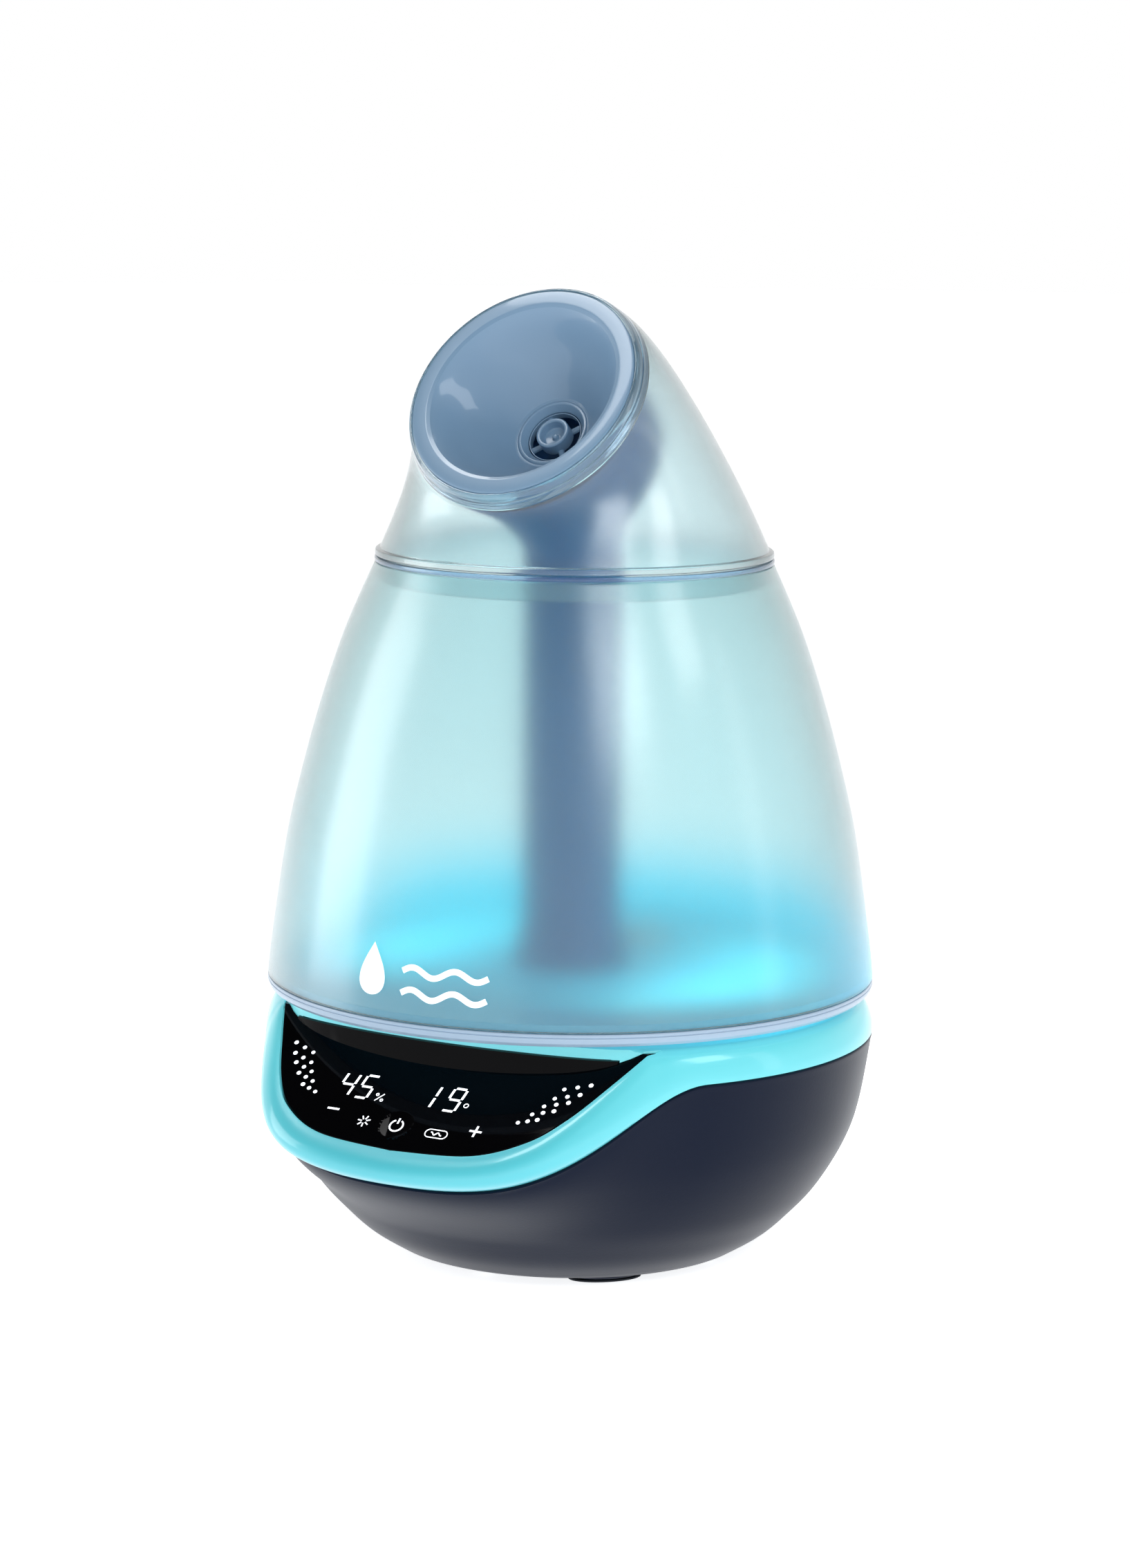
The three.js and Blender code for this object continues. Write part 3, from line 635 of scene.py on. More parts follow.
def makeChimney():
    c = chimney
    bottom, top = low("chimney_tube"), high("chimney_tube")
    flare = spline([(c["foot"], bottom), (20.2, bottom + 5.5), (c["radius"], bottom + c["footHeight"])], 8)
    inside = [Vector((p.x - c["wall"], p.y)) for p in reversed(flare)]
    outline = rounded([*flare, (c["radius"], top), (c["radius"] - c["wall"], top), *inside], 0.6)
    install(turned("chimneyTube", outline, segments=96), finishes["chimney"], "chimney_tube")


neck = {"inner": 66.4, "skirt": 68.4, "outer": 72.1, "band": 1.8}


def makeNeckRing():
    n = neck
    bottom, top = low("neck_ring"), high("neck_ring")
    outline = rounded([
        (n["inner"], bottom), (n["skirt"], bottom), (n["skirt"], top - n["band"], 0.2),
        (n["outer"], top - n["band"], 0.7), (n["outer"], top, 0.7), (n["inner"], top),
    ], 0.3)
    install(turned("neckBand", outline, segments=160), finishes["band"], "neck_ring")


# nozzle dome: a hood from the level neck to the tilted mouth

mouth = {"forward": 37.5, "height": 314.3, "tilt": math.radians(37), "radius": 45.7}
outward = Vector((0, -math.cos(mouth["tilt"]), math.sin(mouth["tilt"])))
mouthDown = Vector((0, -math.sin(mouth["tilt"]), -math.cos(mouth["tilt"])))
mouthCentre = Vector((0, -mouth["forward"], mouth["height"]))
mouthStand = Matrix.Translation(mouthCentre) @ Matrix.Rotation(math.pi / 2 - mouth["tilt"], 4, "X")

dome = {"radius": 71.2, "lean": 0.42, "depth": 6.3, "wall": 2.2, "close": 0.3,
        "start": (20, 130), "end": (12, 64)}
duct = {"radius": 18.4, "lean": 0.29, "depth": 19.6, "wall": 2, "close": 0.17,
        "start": (12, 102), "end": (20, 219), "mouth": 33.6}


def hoodPoint(shape, seat, end, angle, t):
    ahead = (1 + math.cos(angle)) / 2
    radial = around(1, angle)
    across = Vector((math.sin(angle), 0, 0)) + mouthDown * math.cos(angle)
    start = radial * seat[0] + Vector((0, 0, seat[1]))
    finish = mouthCentre - outward * shape["depth"] + across * end
    rise = (radial * -shape["lean"] + Vector((0, 0, 1))).normalized() * mix(*reversed(shape["start"]), ahead)
    arrive = outward * math.cos(shape["close"]) - across * math.sin(shape["close"])
    arrive *= mix(*reversed(shape["end"]), ahead)
    return bezier(t, start, start + rise / 3, finish - arrive / 3, finish)


def hood(name, shape, bottom, mouthRadius, steps, segments):
    wall = shape["wall"]
    lines = ((shape["radius"], mouthRadius), (shape["radius"] - wall, mouthRadius - wall))

    def section(angle):
        outside, inside = (
            [hoodPoint(shape, (foot, bottom), end, angle, i / steps) for i in range(steps + 1)]
            for foot, end in lines)
        return outside + inside[::-1]
    return shaped(name, section, segments)


domeBead = {"out": 0.75, "height": 2.2}


def makeDome():
    bottom = low("nozzle_dome")
    wall = hood("nozzleDome", dome, bottom, mouth["radius"], 28, 144)
    r = dome["radius"]
    out, over = r + domeBead["out"], bottom + domeBead["height"]
    bead = turned("domeBead", rounded([
        (r - 1.8, bottom), (out, bottom, 0.7), (out - 0.2, over, 0.7), (r - 1.9, over + 0.6),
    ], 0.3), segments=144)
    install(carve(wall, [bead], "UNION"), finishes["dome"], "nozzle_dome")
    pipe = hood("mistDuct", duct, low("mist_duct"), duct["mouth"], 28, 96)
    install(pipe, finishes["chimney"], "mist_duct")


trim = {"inner": 42.9, "back": 45.7, "front": 44, "depth": 6, "groove": 0.45}


def makeTrim():
    t = trim
    outline = rounded([
        (t["inner"], -t["depth"]), (t["back"], -t["depth"], 0.3), (t["back"] - 0.5, -4.6, 0.6),
        (t["back"] - 0.75, -3.3, 0.2), (t["back"] - 0.8 - t["groove"], -3, 0.1), (t["back"] - 0.95, -2.7, 0.2),
        (t["front"] + 0.45, -1.5, 0.4), (t["front"], -0.5, 0.5), (t["front"] - 0.7, 0.1, 0.4), (t["inner"], 0),
    ], 0.2)
    install(turned("trimRing", outline, segments=160, stand=mouthStand), finishes["clear"], "nozzle_trim_ring")


funnel = {"rim": 42.6, "edge": 35.7, "hole": 10.4, "throat": -31.5, "wall": 1.6,
          "bell": [(35.7, -0.2), (33.6, -3), (27.5, -12.5), (19.5, -21.5), (14.6, -26.2)]}


def makeFunnel():
    f = funnel
    bell = spline(f["bell"], 10)
    # a rolled edge round the hole
    bead = [(13.6, -26.7, 0.5), (13.1, -26.1, 0.5), (12.2, -26, 0.5), (11.4, -27.1, 0.5),
            (f["hole"], -28.6, 0.5)]
    back = [Vector((p.x + f["wall"], p.y - f["wall"])) for p in reversed(bell)]
    outline = rounded([
        *bell, *bead, (f["hole"], f["throat"]), (f["hole"] + 1.4, f["throat"]), *back,
        (f["rim"] - 4, -2.4), (f["rim"], -2.2), (f["rim"], 0, 0.7), (f["rim"] - 1.2, 0.35, 0.6),
        (39.4, 0.5, 1), (f["edge"] + 1.4, 0.4, 1),
    ], 0.4)
    horn = turned("nozzleFunnel", outline, segments=160, stand=mouthStand)
    install(horn, finishes["funnel"], "nozzle_funnel")


hub = {"ring": (9.7, 10.1), "ringHeight": 2.6, "cup": 6.2, "bottom": -31.4, "top": -26, "turn": 0.6,
       "spoke": 2.4}


def makeHub():
    h = hub
    bottom, top, cupRadius = h["bottom"], h["top"], h["cup"]
    inner, outer = h["ring"]
    rim = turned("hubRim", rounded([
        (inner, bottom), (outer, bottom), (outer, bottom + h["ringHeight"]), (inner, bottom + h["ringHeight"]),
    ], 0.2), segments=64, stand=mouthStand)
    cup = turned("hubCup", rounded([
        (0, bottom + 0.2), (cupRadius, bottom + 0.2), (cupRadius, top, 0.6), (cupRadius - 1.5, top, 0.6),
        (cupRadius - 2.1, top - 3.2, 0.8), (1.2, top - 3.8, 0.5), (0.9, top - 2.4, 0.4), (0, top - 2.2),
    ], 0.3), segments=64, stand=mouthStand)
    tools = [cup]
    for i in range(4):
        # a half-round rib from the cup out to the rim
        spoke = h["spoke"] / 2
        arch = [(spoke * math.cos(a), spoke * math.sin(a)) for a in (math.pi * k / 8 for k in range(9))]
        across = Matrix.Rotation(h["turn"] + i * math.pi / 2, 4, "Z")
        ends = [[mouthStand @ across @ Vector((x, u, bottom + 0.6 + v)) for u, v in arch]
                for x in (cupRadius - 0.6, inner)]
        tools.append(capped("hubRib", ends))
    install(carve(rim, tools, "UNION"), finishes["funnel"], "outlet_hub")


# base: bowl, lit ring and display

bowl = {
    "outline": [(66, 0), (75.8, 6.2), (83.4, 13.2), (92.3, 23.2), (101.2, 38.2), (106.4, 53.2), (110.9, 80.4)],
    "wall": 3, "ledge": 52, "cover": 63, "screwHole": 1.8, "sensorSlots": 4,
}
bowlLine = spline([(r, z + low("base_shell")) for r, z in bowl["outline"]], 14)
ring = {"seam": 82.3, "drop": 35.7, "wall": 3, "flangeTop": 94.5, "flangeLow": 91, "inner": 84.5,
        "shoulder": (106.8, 92.8)}
lip = {"reach": math.radians(56), "flare": 16}
panel = {"height": 148.3, "slope": 0.739, "top": 93.2, "lens": 2.4, "riser": 1.6, "riserTop": 90.5,
         "riserHalf": 66, "tip": 77.5}
lensEdge = spline([
    (0, -120.5), (30, -118.3), (48, -111), (58.5, -101), (68, -86.4), (panel["tip"], -70.4),
], 12)
gap = 0.3


def panelHeight(y):
    return min(panel["height"] + panel["slope"] * y, panel["top"])


def belowPanel(depth):
    return lambda y: panelHeight(y) - depth


def creaseY(x):
    return -89 + 0.00175 * x * x + 8.1 * (x / panel["tip"]) ** 8


def fromFront(angle):
    return min(angle, 2 * math.pi - angle)


def seam(angle):
    # the front of the ring hangs down as a lip and swings outwards
    t = min(fromFront(angle) / lip["reach"], 1)
    height = ring["seam"] - ring["drop"] * (1 + math.cos(math.pi * t ** 1.6)) / 2
    front = smoothstep((1 - t) / 0.68)
    return radiusOn(bowlLine, height) + lip["flare"] * front, height, front


def ringEdge(angle):
    # where the ring meets the lens, or its own shoulder away from the front
    side = fromFront(angle)
    for near, far in zip(lensEdge, lensEdge[1:]):
        start, end = math.atan2(near.x, -near.y), math.atan2(far.x, -far.y)
        if side <= end:
            radius = mix(near.length, far.length, (side - start) / (end - start)) + 1
            return radius, min(panelHeight(-radius * math.cos(side)), ring["shoulder"][1])
    return ring["shoulder"]


def ringSection(angle, steps=16):
    radius, height, front = seam(angle)
    edgeRadius, edgeHeight = ringEdge(angle)
    face = []
    for i in range(steps + 1):
        t = i / steps
        face.append((
            bezier(t, radius, radius + 0.3 + 12 * front, edgeRadius + 2 + 5.5 * front, edgeRadius),
            bezier(t, height, height + 3.5 - 1.3 * front, edgeHeight - 1.5 - 1.3 * front, edgeHeight)))
    shoulder = edgeRadius - 2 - 6 * front
    inside = [(r - ring["wall"], z - i / steps * 1.2) for i, (r, z) in enumerate(face)][::-1]
    flangeTop, flangeLow = ring["flangeTop"], ring["flangeLow"]
    return [
        *face, (edgeRadius - 1.9, min(edgeHeight + 1.3, flangeTop - 0.2)), (shoulder - 1, flangeTop),
        (ring["inner"], flangeTop), (ring["inner"], flangeLow), (shoulder - 4, flangeLow),
        *inside[1:],
    ]


def lensOutline(grow):
    half = [(p.x * (1 + 3 * grow / panel["tip"]), p.y - grow * (1 - 4 * (p.x / panel["tip"]) ** 8))
            for p in lensEdge]
    back = []
    for i in range(1, 40):
        x = panel["tip"] * (1 - i / 20)
        back.append((x, creaseY(x) + grow))
    return [(-x, y) for x, y in half[:0:-1]] + half + back


def creaseBand(half, front, back):
    across = [mix(-half, half, i / 40) for i in range(41)]
    return [(x, creaseY(x) + front) for x in across] + [(x, creaseY(x) + back) for x in reversed(across)]


foldY = (panel["top"] - panel["height"]) / panel["slope"]


def makeRing():
    whole = shaped("lightRing", ringSection, 240)
    pocket = prism("pocket", lensOutline(gap), belowPanel(panel["lens"] + gap), lambda _: 130, foldY)
    slot = prism("riserSlot", creaseBand(panel["riserHalf"] + gap, -0.5, panel["riser"] + gap),
                 belowPanel(panel["lens"] + 8), lambda _: panel["riserTop"] + gap)
    install(carve(whole, [pocket, slot]), finishes["ring"], "light_ring")


# the display's own axes: x across, y along the floor, lift off the sloping glass
panelTilt = math.atan(panel["slope"])
panelUp = Vector((0, -math.sin(panelTilt), math.cos(panelTilt)))
powerKey = {"x": -3.2, "y": -111.8, "outer": 6.6, "inner": 5.5, "dip": 0.4}


def onPanel(x, y, lift=0):
    return Vector((x, y, panelHeight(y))) + panelUp * lift


def makeLens():
    glass = prism("displayGlass", lensOutline(0), belowPanel(panel["lens"]), belowPanel(0), foldY)
    riser = prism("riser", creaseBand(panel["riserHalf"], -0.4, panel["riser"]), belowPanel(panel["lens"]),
                  lambda _: panel["riserTop"])
    carve(glass, [riser], "UNION")
    k = powerKey
    stand = Matrix.Translation(onPanel(k["x"], k["y"])) @ Matrix.Rotation(panelTilt, 4, "X")
    dish = turned("keyDish", [
        (0, -k["dip"]), (k["inner"], -k["dip"]), (k["outer"], 0), (k["outer"], 1), (0, 1),
    ], segments=72, stand=stand)
    carve(glass, [dish])
    install(bevelled(glass, 0.3), finishes["lens"], "display_lens")


# signs on the glass and on the tank, drawn as strokes

along = Vector((0, math.cos(panelTilt), math.sin(panelTilt)))


def ribbon(points, width, closed=False):
    # left and right edges of a stroke along a flat line of points
    line = [Vector(p) for p in points]
    edges = []
    for i, p in enumerate(line):
        before = line[i - 1] if closed or i > 0 else p
        after = line[(i + 1) % len(line)] if closed or i < len(line) - 1 else p
        side = (after - before).normalized()
        side = Vector((-side.y, side.x)) * width / 2
        edges.append((p + side, p - side))
    return edges


def stamped(name, strokes, discs, lay, thick=0.12):
    # strokes are (rows of points, closed) and discs (x, y, radius); lay puts a flat point in space
    points, faces = [], []
    for rows, closed in strokes:
        start, wide, count = len(points), len(rows[0]), len(rows)
        loop = 2 * wide
        for row in rows:
            points += [lay(p, 0) for p in row] + [lay(p, thick) for p in reversed(row)]
        for i in range(count if closed else count - 1):
            a, b = start + loop * i, start + loop * ((i + 1) % count)
            faces += [(a + k, a + (k + 1) % loop, b + (k + 1) % loop, b + k) for k in range(loop)]
        for a in () if closed else (start, start + loop * (count - 1)):
            faces += [(a + k, a + k + 1, a + loop - 2 - k, a + loop - 1 - k) for k in range(wide - 1)]
    for x, y, radius in discs:
        start, sides = len(points), 20
        ends = [Vector((x + radius * math.cos(a), y + radius * math.sin(a)))
                for a in (2 * math.pi * k / sides for k in range(sides))]
        points += [lay(p, 0) for p in ends] + [lay(p, thick) for p in ends]
        faces += [(start + k, start + (k + 1) % sides, start + sides + (k + 1) % sides, start + sides + k)
                  for k in range(sides)]
        faces += [tuple(range(start, start + sides)), tuple(range(start + sides, start + 2 * sides))]
    return build(name, points, faces)


def arc(x, y, radius, start, end, steps=24):
    return [(x + radius * math.cos(a), y + radius * math.sin(a))
            for a in (math.radians(mix(start, end, i / steps)) for i in range(steps + 1))]


def layOnPanel(x, y, lean=0.0, dip=0.0):
    # flat points become points on the glass round a sign's middle
    middle = onPanel(x, y, 0.02 - dip)

    def lay(p, lift):
        return middle + Vector((p.x + lean * p.y, 0, 0)) + along * p.y + panelUp * lift
    return lay


figures = {"width": 5, "height": 10.2, "stroke": 0.85, "thin": 0.3, "gap": 0.5, "lean": 0.08, "y": -100.2}
segmentsOf = {"1": "bc", "4": "fgbc", "5": "afgcd", "9": "abcdfg"}


def figureStrokes(figure):
    w, h = figures["width"] / 2, figures["height"] / 2
    g = figures["gap"]
    bars = {"a": ((-w + g, h), (w - g, h)), "b": ((w, h - g), (w, g)), "c": ((w, -g), (w, -h + g)),
            "d": ((-w + g, -h), (w - g, -h)), "e": ((-w, -g), (-w, -h + g)), "f": ((-w, h - g), (-w, g)),
            "g": ((-w + g, 0), (w - g, 0))}
    return [(ribbon(bars[s], figures["stroke"]), False) for s in segmentsOf[figure]]


def makeFigures():
    pieces = [stamped("figure", figureStrokes(figure), [], layOnPanel(x, figures["y"], figures["lean"]))
              for x, figure in ((-30.6, "4"), (-22.7, "5"), (3.1, "1"), (13.4, "9"))]
    # a percent sign beside the first number and a degree ring beside the second
    thin = figures["thin"]
    pieces.append(stamped("percent", [
        (ribbon([(-1.3, -1.7), (1.3, 1.7)], thin), False),
        *((ribbon(arc(x, y, 0.5, 0, 345), thin, True), True) for x, y in ((-1.3, 1.1), (1.3, -1.1))),
    ], [], layOnPanel(-15.6, -103.2)))
    pieces.append(stamped("degree", [(ribbon(arc(0, 0, 0.85, 0, 345), thin, True), True)], [],
                          layOnPanel(18.9, -101.6)))
    attach(joined("displayFigures", pieces), finishes["figures"], "base", "white_plastic")


keys = {"stroke": 0.75, "fine": 0.45, "power": 0.6, "pill": 0.35}


def makeKeySigns():
    wide, fine = keys["stroke"], keys["fine"]
    minus = [(ribbon([(-2.4, 0), (2.4, 0)], wide), False)]
    plus = minus + [(ribbon([(0, -2.4), (0, 2.4)], wide), False)]
    rays = [(ribbon([(r * math.cos(a), r * math.sin(a)) for r in (0.9, 2.5)], fine), False)
            for a in (math.radians(20 + 51.4 * i) for i in range(7))]
    power = [(ribbon(stroke, keys["power"]), False)
             for stroke in (arc(0, 0, 2.5, 118, 422), [(0, 0.9), (0, 3.3)])]
    # a pill outline with a small wave in it: the automatic mode
    pill = arc(2.6, 0, 1.75, -90, 90, 12) + arc(-2.6, 0, 1.75, 90, 270, 12)
    wave = [(x / 4, 0.55 * math.sin(x / 4 * 2.4)) for x in range(-9, 10)]
    pillWave = [(ribbon(pill, keys["pill"], True), True), (ribbon(wave, fine), False)]
    signs = (("minusSign", minus, -30.6, -109.5), ("mistSign", rays, -16.2, -112.2),
             ("powerSign", power, powerKey["x"], powerKey["y"]),
             ("waveSign", pillWave, 13.8, -112.8),
             ("plusSign", plus, 27.9, -109.9))
    pieces = []
    for name, strokes, x, y in signs:
        dip = powerKey["dip"] if name == "powerSign" else 0
        pieces.append(stamped(name, strokes, [], layOnPanel(x, y, dip=dip)))
    attach(joined("keySigns", pieces), finishes["signs"], "base", "white_plastic")


# five rows of three lamps at each side: the outer lamp's place and the pitch along the row
lamps = {
    "rows": [(60.7, -88.2, 4.5), (58.6, -92, 4.25), (56, -95.3, 4.1), (52.4, -98.9, 3.65),
             (48.1, -102.7, 3.25)],
    "slant": 0.3, "radius": 0.85, "shrink": 0.05,
}


def makeLamps():
    pieces = []
    for side in (-1, 1):
        for x, y, pitch in lamps["rows"]:
            for j in range(3):
                lay = layOnPanel(side * (x - j * pitch), y - j * lamps["slant"] * pitch)
                pieces.append(stamped("lamp", [], [(0, 0, lamps["radius"] - lamps["shrink"] * j)], lay))
    attach(joined("levelLamps", pieces), finishes["signs"], "base", "white_plastic")


tankMark = {"angle": -8.4, "height": 16.9, "size": 9.1, "wide": 0.86, "waves": (13, 45.5), "rows": (0.7, -6.9),
            "stroke": 2.1, "sway": 1.5}


def makeTankMark():
    # a water drop and two mist waves, printed on the tank's skin
    m = tankMark
    middle = low("tank_shell") + m["height"]

    def lay(p, lift):
        z = middle + p.y
        radius = radiusOn(tankLine, z) + lift + 0.04
        return around(radius, math.radians(m["angle"]) + p.x / radius, z)
    drop = []
    levels, columns = 40, 12
    for i in range(levels + 1):
        a = math.pi * mix(0.02, 0.995, i / levels)
        half = m["size"] * m["wide"] * math.sin(a) * math.sin(a / 2) ** 1.3
        drop.append([Vector((half * (2 * k / columns - 1), m["size"] * math.cos(a)))
                     for k in range(columns + 1)])
    strokes = [(drop, False)]
    start, end = m["waves"]
    for row in m["rows"]:
        wave = [(mix(start, end, k / 60), row + m["sway"] * math.sin(k / 60 * 4 * math.pi)) for k in range(61)]
        strokes.append((ribbon(wave, m["stroke"]), False))
    attach(stamped("tankMark", strokes, [], lay, 0.08), finishes["ink"], "water_tank", "white_plastic")


# base shell, cover and feet

def bowlSection(angle, steps=44):
    seamHeight, front = seam(angle)[1:]
    rim = seamHeight - 0.5
    bottom = low("base_shell")
    outside = []
    for i in range(steps + 1):
        z = mix(bottom, rim, i / steps)
        flare = smoothstep((z - 20) / (seamHeight - 20)) * lip["flare"] * front
        outside.append((radiusOn(bowlLine, z) + flare, z))
    inside = [(r - bowl["wall"], z) for r, z in outside if z > bottom + 6.8][::-1]
    missing = steps - 2 - len(inside)
    inside += [inside[-1]] * missing
    r, z = outside[-1]
    edge = [(r, z - 0.8), (r - 0.1, z - 0.35), (r - 0.35, z - 0.1), (r - 0.8, z)]
    ledge = bottom + 6.2
    return [
        *outside[:-1], *edge, *inside, (66, ledge), (bowl["ledge"], ledge), (bowl["ledge"], ledge - 2.9),
        (bowl["cover"], ledge - 2.9), (bowl["cover"], bottom + 0.4), (bowl["cover"] + 0.4, bottom),
    ]


cover = {"screwCircle": 57.4, "shank": 1.9, "head": 3.6, "headDepth": 5.2, "vents": 7, "ventPitch": 5,
         "ventWidth": 2.6}
quarters = [math.pi / 2 * i for i in range(4)]
drawer = {"bottom": 38, "height": 12, "width": 32, "corner": 2.4, "bin": (27.6, 44), "hollow": (24.4, 34),
          "groove": 7}
socket = {"z": 20, "radius": 9, "face": 78.5, "out": 2.5, "bore": 3.2, "pin": 1.1}


def windowBlock(name, grow):
    # the drawer's window, its upright corners rounded as seen from behind
    d = drawer
    frameBlock = block(name, d["width"] + 2 * grow, 60, d["height"] + 2 * grow, 0, 100, d["bottom"] - grow)
    mesh = bmesh.new()
    mesh.from_mesh(frameBlock.data)
    lengthwise = [e for e in mesh.edges if abs(e.verts[0].co.y - e.verts[1].co.y) > 50 * mm]
    bmesh.ops.bevel(mesh, geom=lengthwise, offset=(d["corner"] + grow) * mm, segments=6, profile=0.5,
                    affect="EDGES")
    mesh.to_mesh(frameBlock.data)
    mesh.free()
    return frameBlock


def lying(x, z):
    # a stand for pieces turned about a line that runs backwards from (x, 0, z)
    return Matrix.Translation((x, 0, z)) @ Matrix.Rotation(-math.pi / 2, 4, "X")


def rod(name, radius, start, end, x=0, y=0, stand=Matrix.Identity(4), segments=48):
    return turned(name, [(0, start), (radius, start), (radius, end), (0, end)], x, y, segments, stand)


def makeBowl():
    shell = shaped("baseShell", bowlSection, 240)
    tools = [windowBlock("window", gap)]
    tools.append(rod("socketHole", socket["radius"] + gap, 70, 120, stand=lying(0, socket["z"])))
    tools += [block("sensorSlot", 2, 30, 10, 40 + 5 * i, 90, 60) for i in range(bowl["sensorSlots"])]
    screws = [around(cover["screwCircle"], angle).xy for angle in quarters]
    tools += [rod("screwHole", bowl["screwHole"], 5, 12, x, y) for x, y in screws]
    install(carve(shell, tools), finishes["shell"], "base_shell")


foot = {"radius": 53.6, "half": 15.5, "depth": 9, "angles": [math.radians(45 + 90 * i) for i in range(4)]}
fan = {"x": -22, "y": 4}


def footStand(angle, half, depth):
    place = Matrix.Translation(around(foot["radius"], angle))
    return place @ Matrix.Rotation(angle, 4, "Z") @ Matrix.Diagonal((half, depth, 1, 1))


def makeCover():
    bottom, top = low("bottom_cover"), high("bottom_cover")
    plate = turned("bottomCover", rounded([
        (0, bottom + 2.6), (62.7, bottom + 2.6, 0.6), (62.7, top), (0, top)], 0.3), segments=128)
    bosses = []
    for angle in foot["angles"]:
        # a domed oval foot
        line = spline([(1, top - 1), (0.985, bottom + 2.4), (0.93, bottom + 1), (0.82, bottom + 0.2),
                       (0.66, bottom), (0, bottom)], 4)
        bosses.append(turned("footBoss", [*line, Vector((0, top - 1))], segments=64,
                             stand=footStand(angle, foot["half"], foot["depth"])))
    carve(plate, bosses, "UNION")
    half = (cover["vents"] - 1) // 2
    tools = []
    for i in range(-half, half + 1):
        x = fan["x"] + cover["ventPitch"] * i
        tools.append(block("vent", cover["ventWidth"], 32 - 3 * abs(i), 20, x, fan["y"], 0))
    for angle in quarters:
        x, y = around(cover["screwCircle"], angle).xy
        tools.append(rod("screwHole", cover["shank"], 0, 10, x, y))
        tools.append(rod("screwSeat", cover["head"], 0, cover["headDepth"], x, y))
    install(carve(plate, tools), finishes["shell"], "bottom_cover")
    for i, angle in enumerate(foot["angles"]):
        pad = turned(f"footPad{i + 1}", rounded([(0, 0), (1, 0, 0.3), (1, 0.9), (0, 0.9)], 0.1), segments=64,
                     stand=footStand(angle, foot["half"] - 2.2, foot["depth"] - 2))
        install(pad, finishes["rubber"], f"foot_pad_{i + 1}")


def makeDrawer():
    d = drawer
    heights = [d["bottom"] - 4 + (d["height"] + 8) * i / 24 for i in range(25)]

    def skin(_):
        return [(radiusOn(bowlLine, z), z) for z in heights] + [
            (radiusOn(bowlLine, z) - bowl["wall"], z) for z in reversed(heights)]
    face = carve(shaped("aromaDrawer", skin, 240), [windowBlock("face", 0)], "INTERSECT")
    drawerBin = block("bin", *d["bin"], d["height"] - 2.6, 0, 78.4, d["bottom"] + 1.3)
    carve(drawerBin, [block("hollow", *d["hollow"], d["height"], 0, 76, d["bottom"] + 3.2)])
    carve(face, [drawerBin], "UNION")
    # a finger groove across the face
    stand = Matrix.Rotation(math.pi / 2, 4, "Y")
    stand.translation = (0, 107.6, d["bottom"] + d["height"] / 2)
    groove = rod("fingerGroove", d["groove"], -8, 8, segments=64, stand=stand)
    install(bevelled(carve(face, [groove]), 0.35), finishes["shell"], "aroma_drawer")


scentPad = {"crown": 0.25, "edge": 0.8, "squareness": 9}


def makePad():
    # soft felt: rounded corners, a rolled edge and a slight crown, inside the CAD pad's box
    lowest, highest = (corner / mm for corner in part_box("aroma_pad"))
    middle, half = (lowest + highest) / 2, (highest - lowest) / 2
    edge, crown = scentPad["edge"], scentPad["crown"]
    quarter = [math.pi / 2 * k / 5 for k in range(6)]
    line = [(9, -half.z)]
    line += [(edge * (1 - math.sin(t)), edge * (1 - math.cos(t)) - half.z) for t in quarter]
    line += [(edge * (1 - math.sin(t)), half.z - crown - edge * (1 - math.cos(t))) for t in reversed(quarter)]
    line += [(edge + d, half.z - crown * math.exp(-d / 3)) for d in (1.2, 2.5, 4, 6, 9)]
    sides = 96

    def side(value):
        return math.copysign(abs(value) ** (2 / scentPad["squareness"]), value)
    loops = [[Vector((middle.x + (half.x - inset) * side(math.cos(2 * math.pi * k / sides)),
                      middle.y - axisY / mm + (half.y - inset) * side(math.sin(2 * math.pi * k / sides)),
                      middle.z + height)) for k in range(sides)] for inset, height in line]
    pad = install(capped("scentPad", loops), finishes["felt"], "aroma_pad")


def makeSocket():
    s = socket
    face, front = s["face"], s["face"] + s["out"]
    body = turned("powerSocket", rounded([
        (0, face - 8), (6, face - 8), (6, face), (s["radius"], face), (s["radius"], front, 0.8),
        (s["bore"] + 0.6, front, 0.4), (s["bore"], front - 0.7, 0.2), (s["bore"], face - 7),
        (s["pin"], face - 7), (s["pin"], face + 1, 0.5), (0, face + 1.2),
    ], 0.3), segments=72, stand=lying(0, s["z"]))
    install(body, finishes["black"], "power_socket")


# water tray and what stands in it

# the port is given by x, y, bore, outer radius and top, the post by x, y, radius and top
tray = {"outer": 84, "port": (-35, 18, 13, 15, 80), "post": (42, 26, 2.6, 82), "seat": 10, "wall": 2.2}


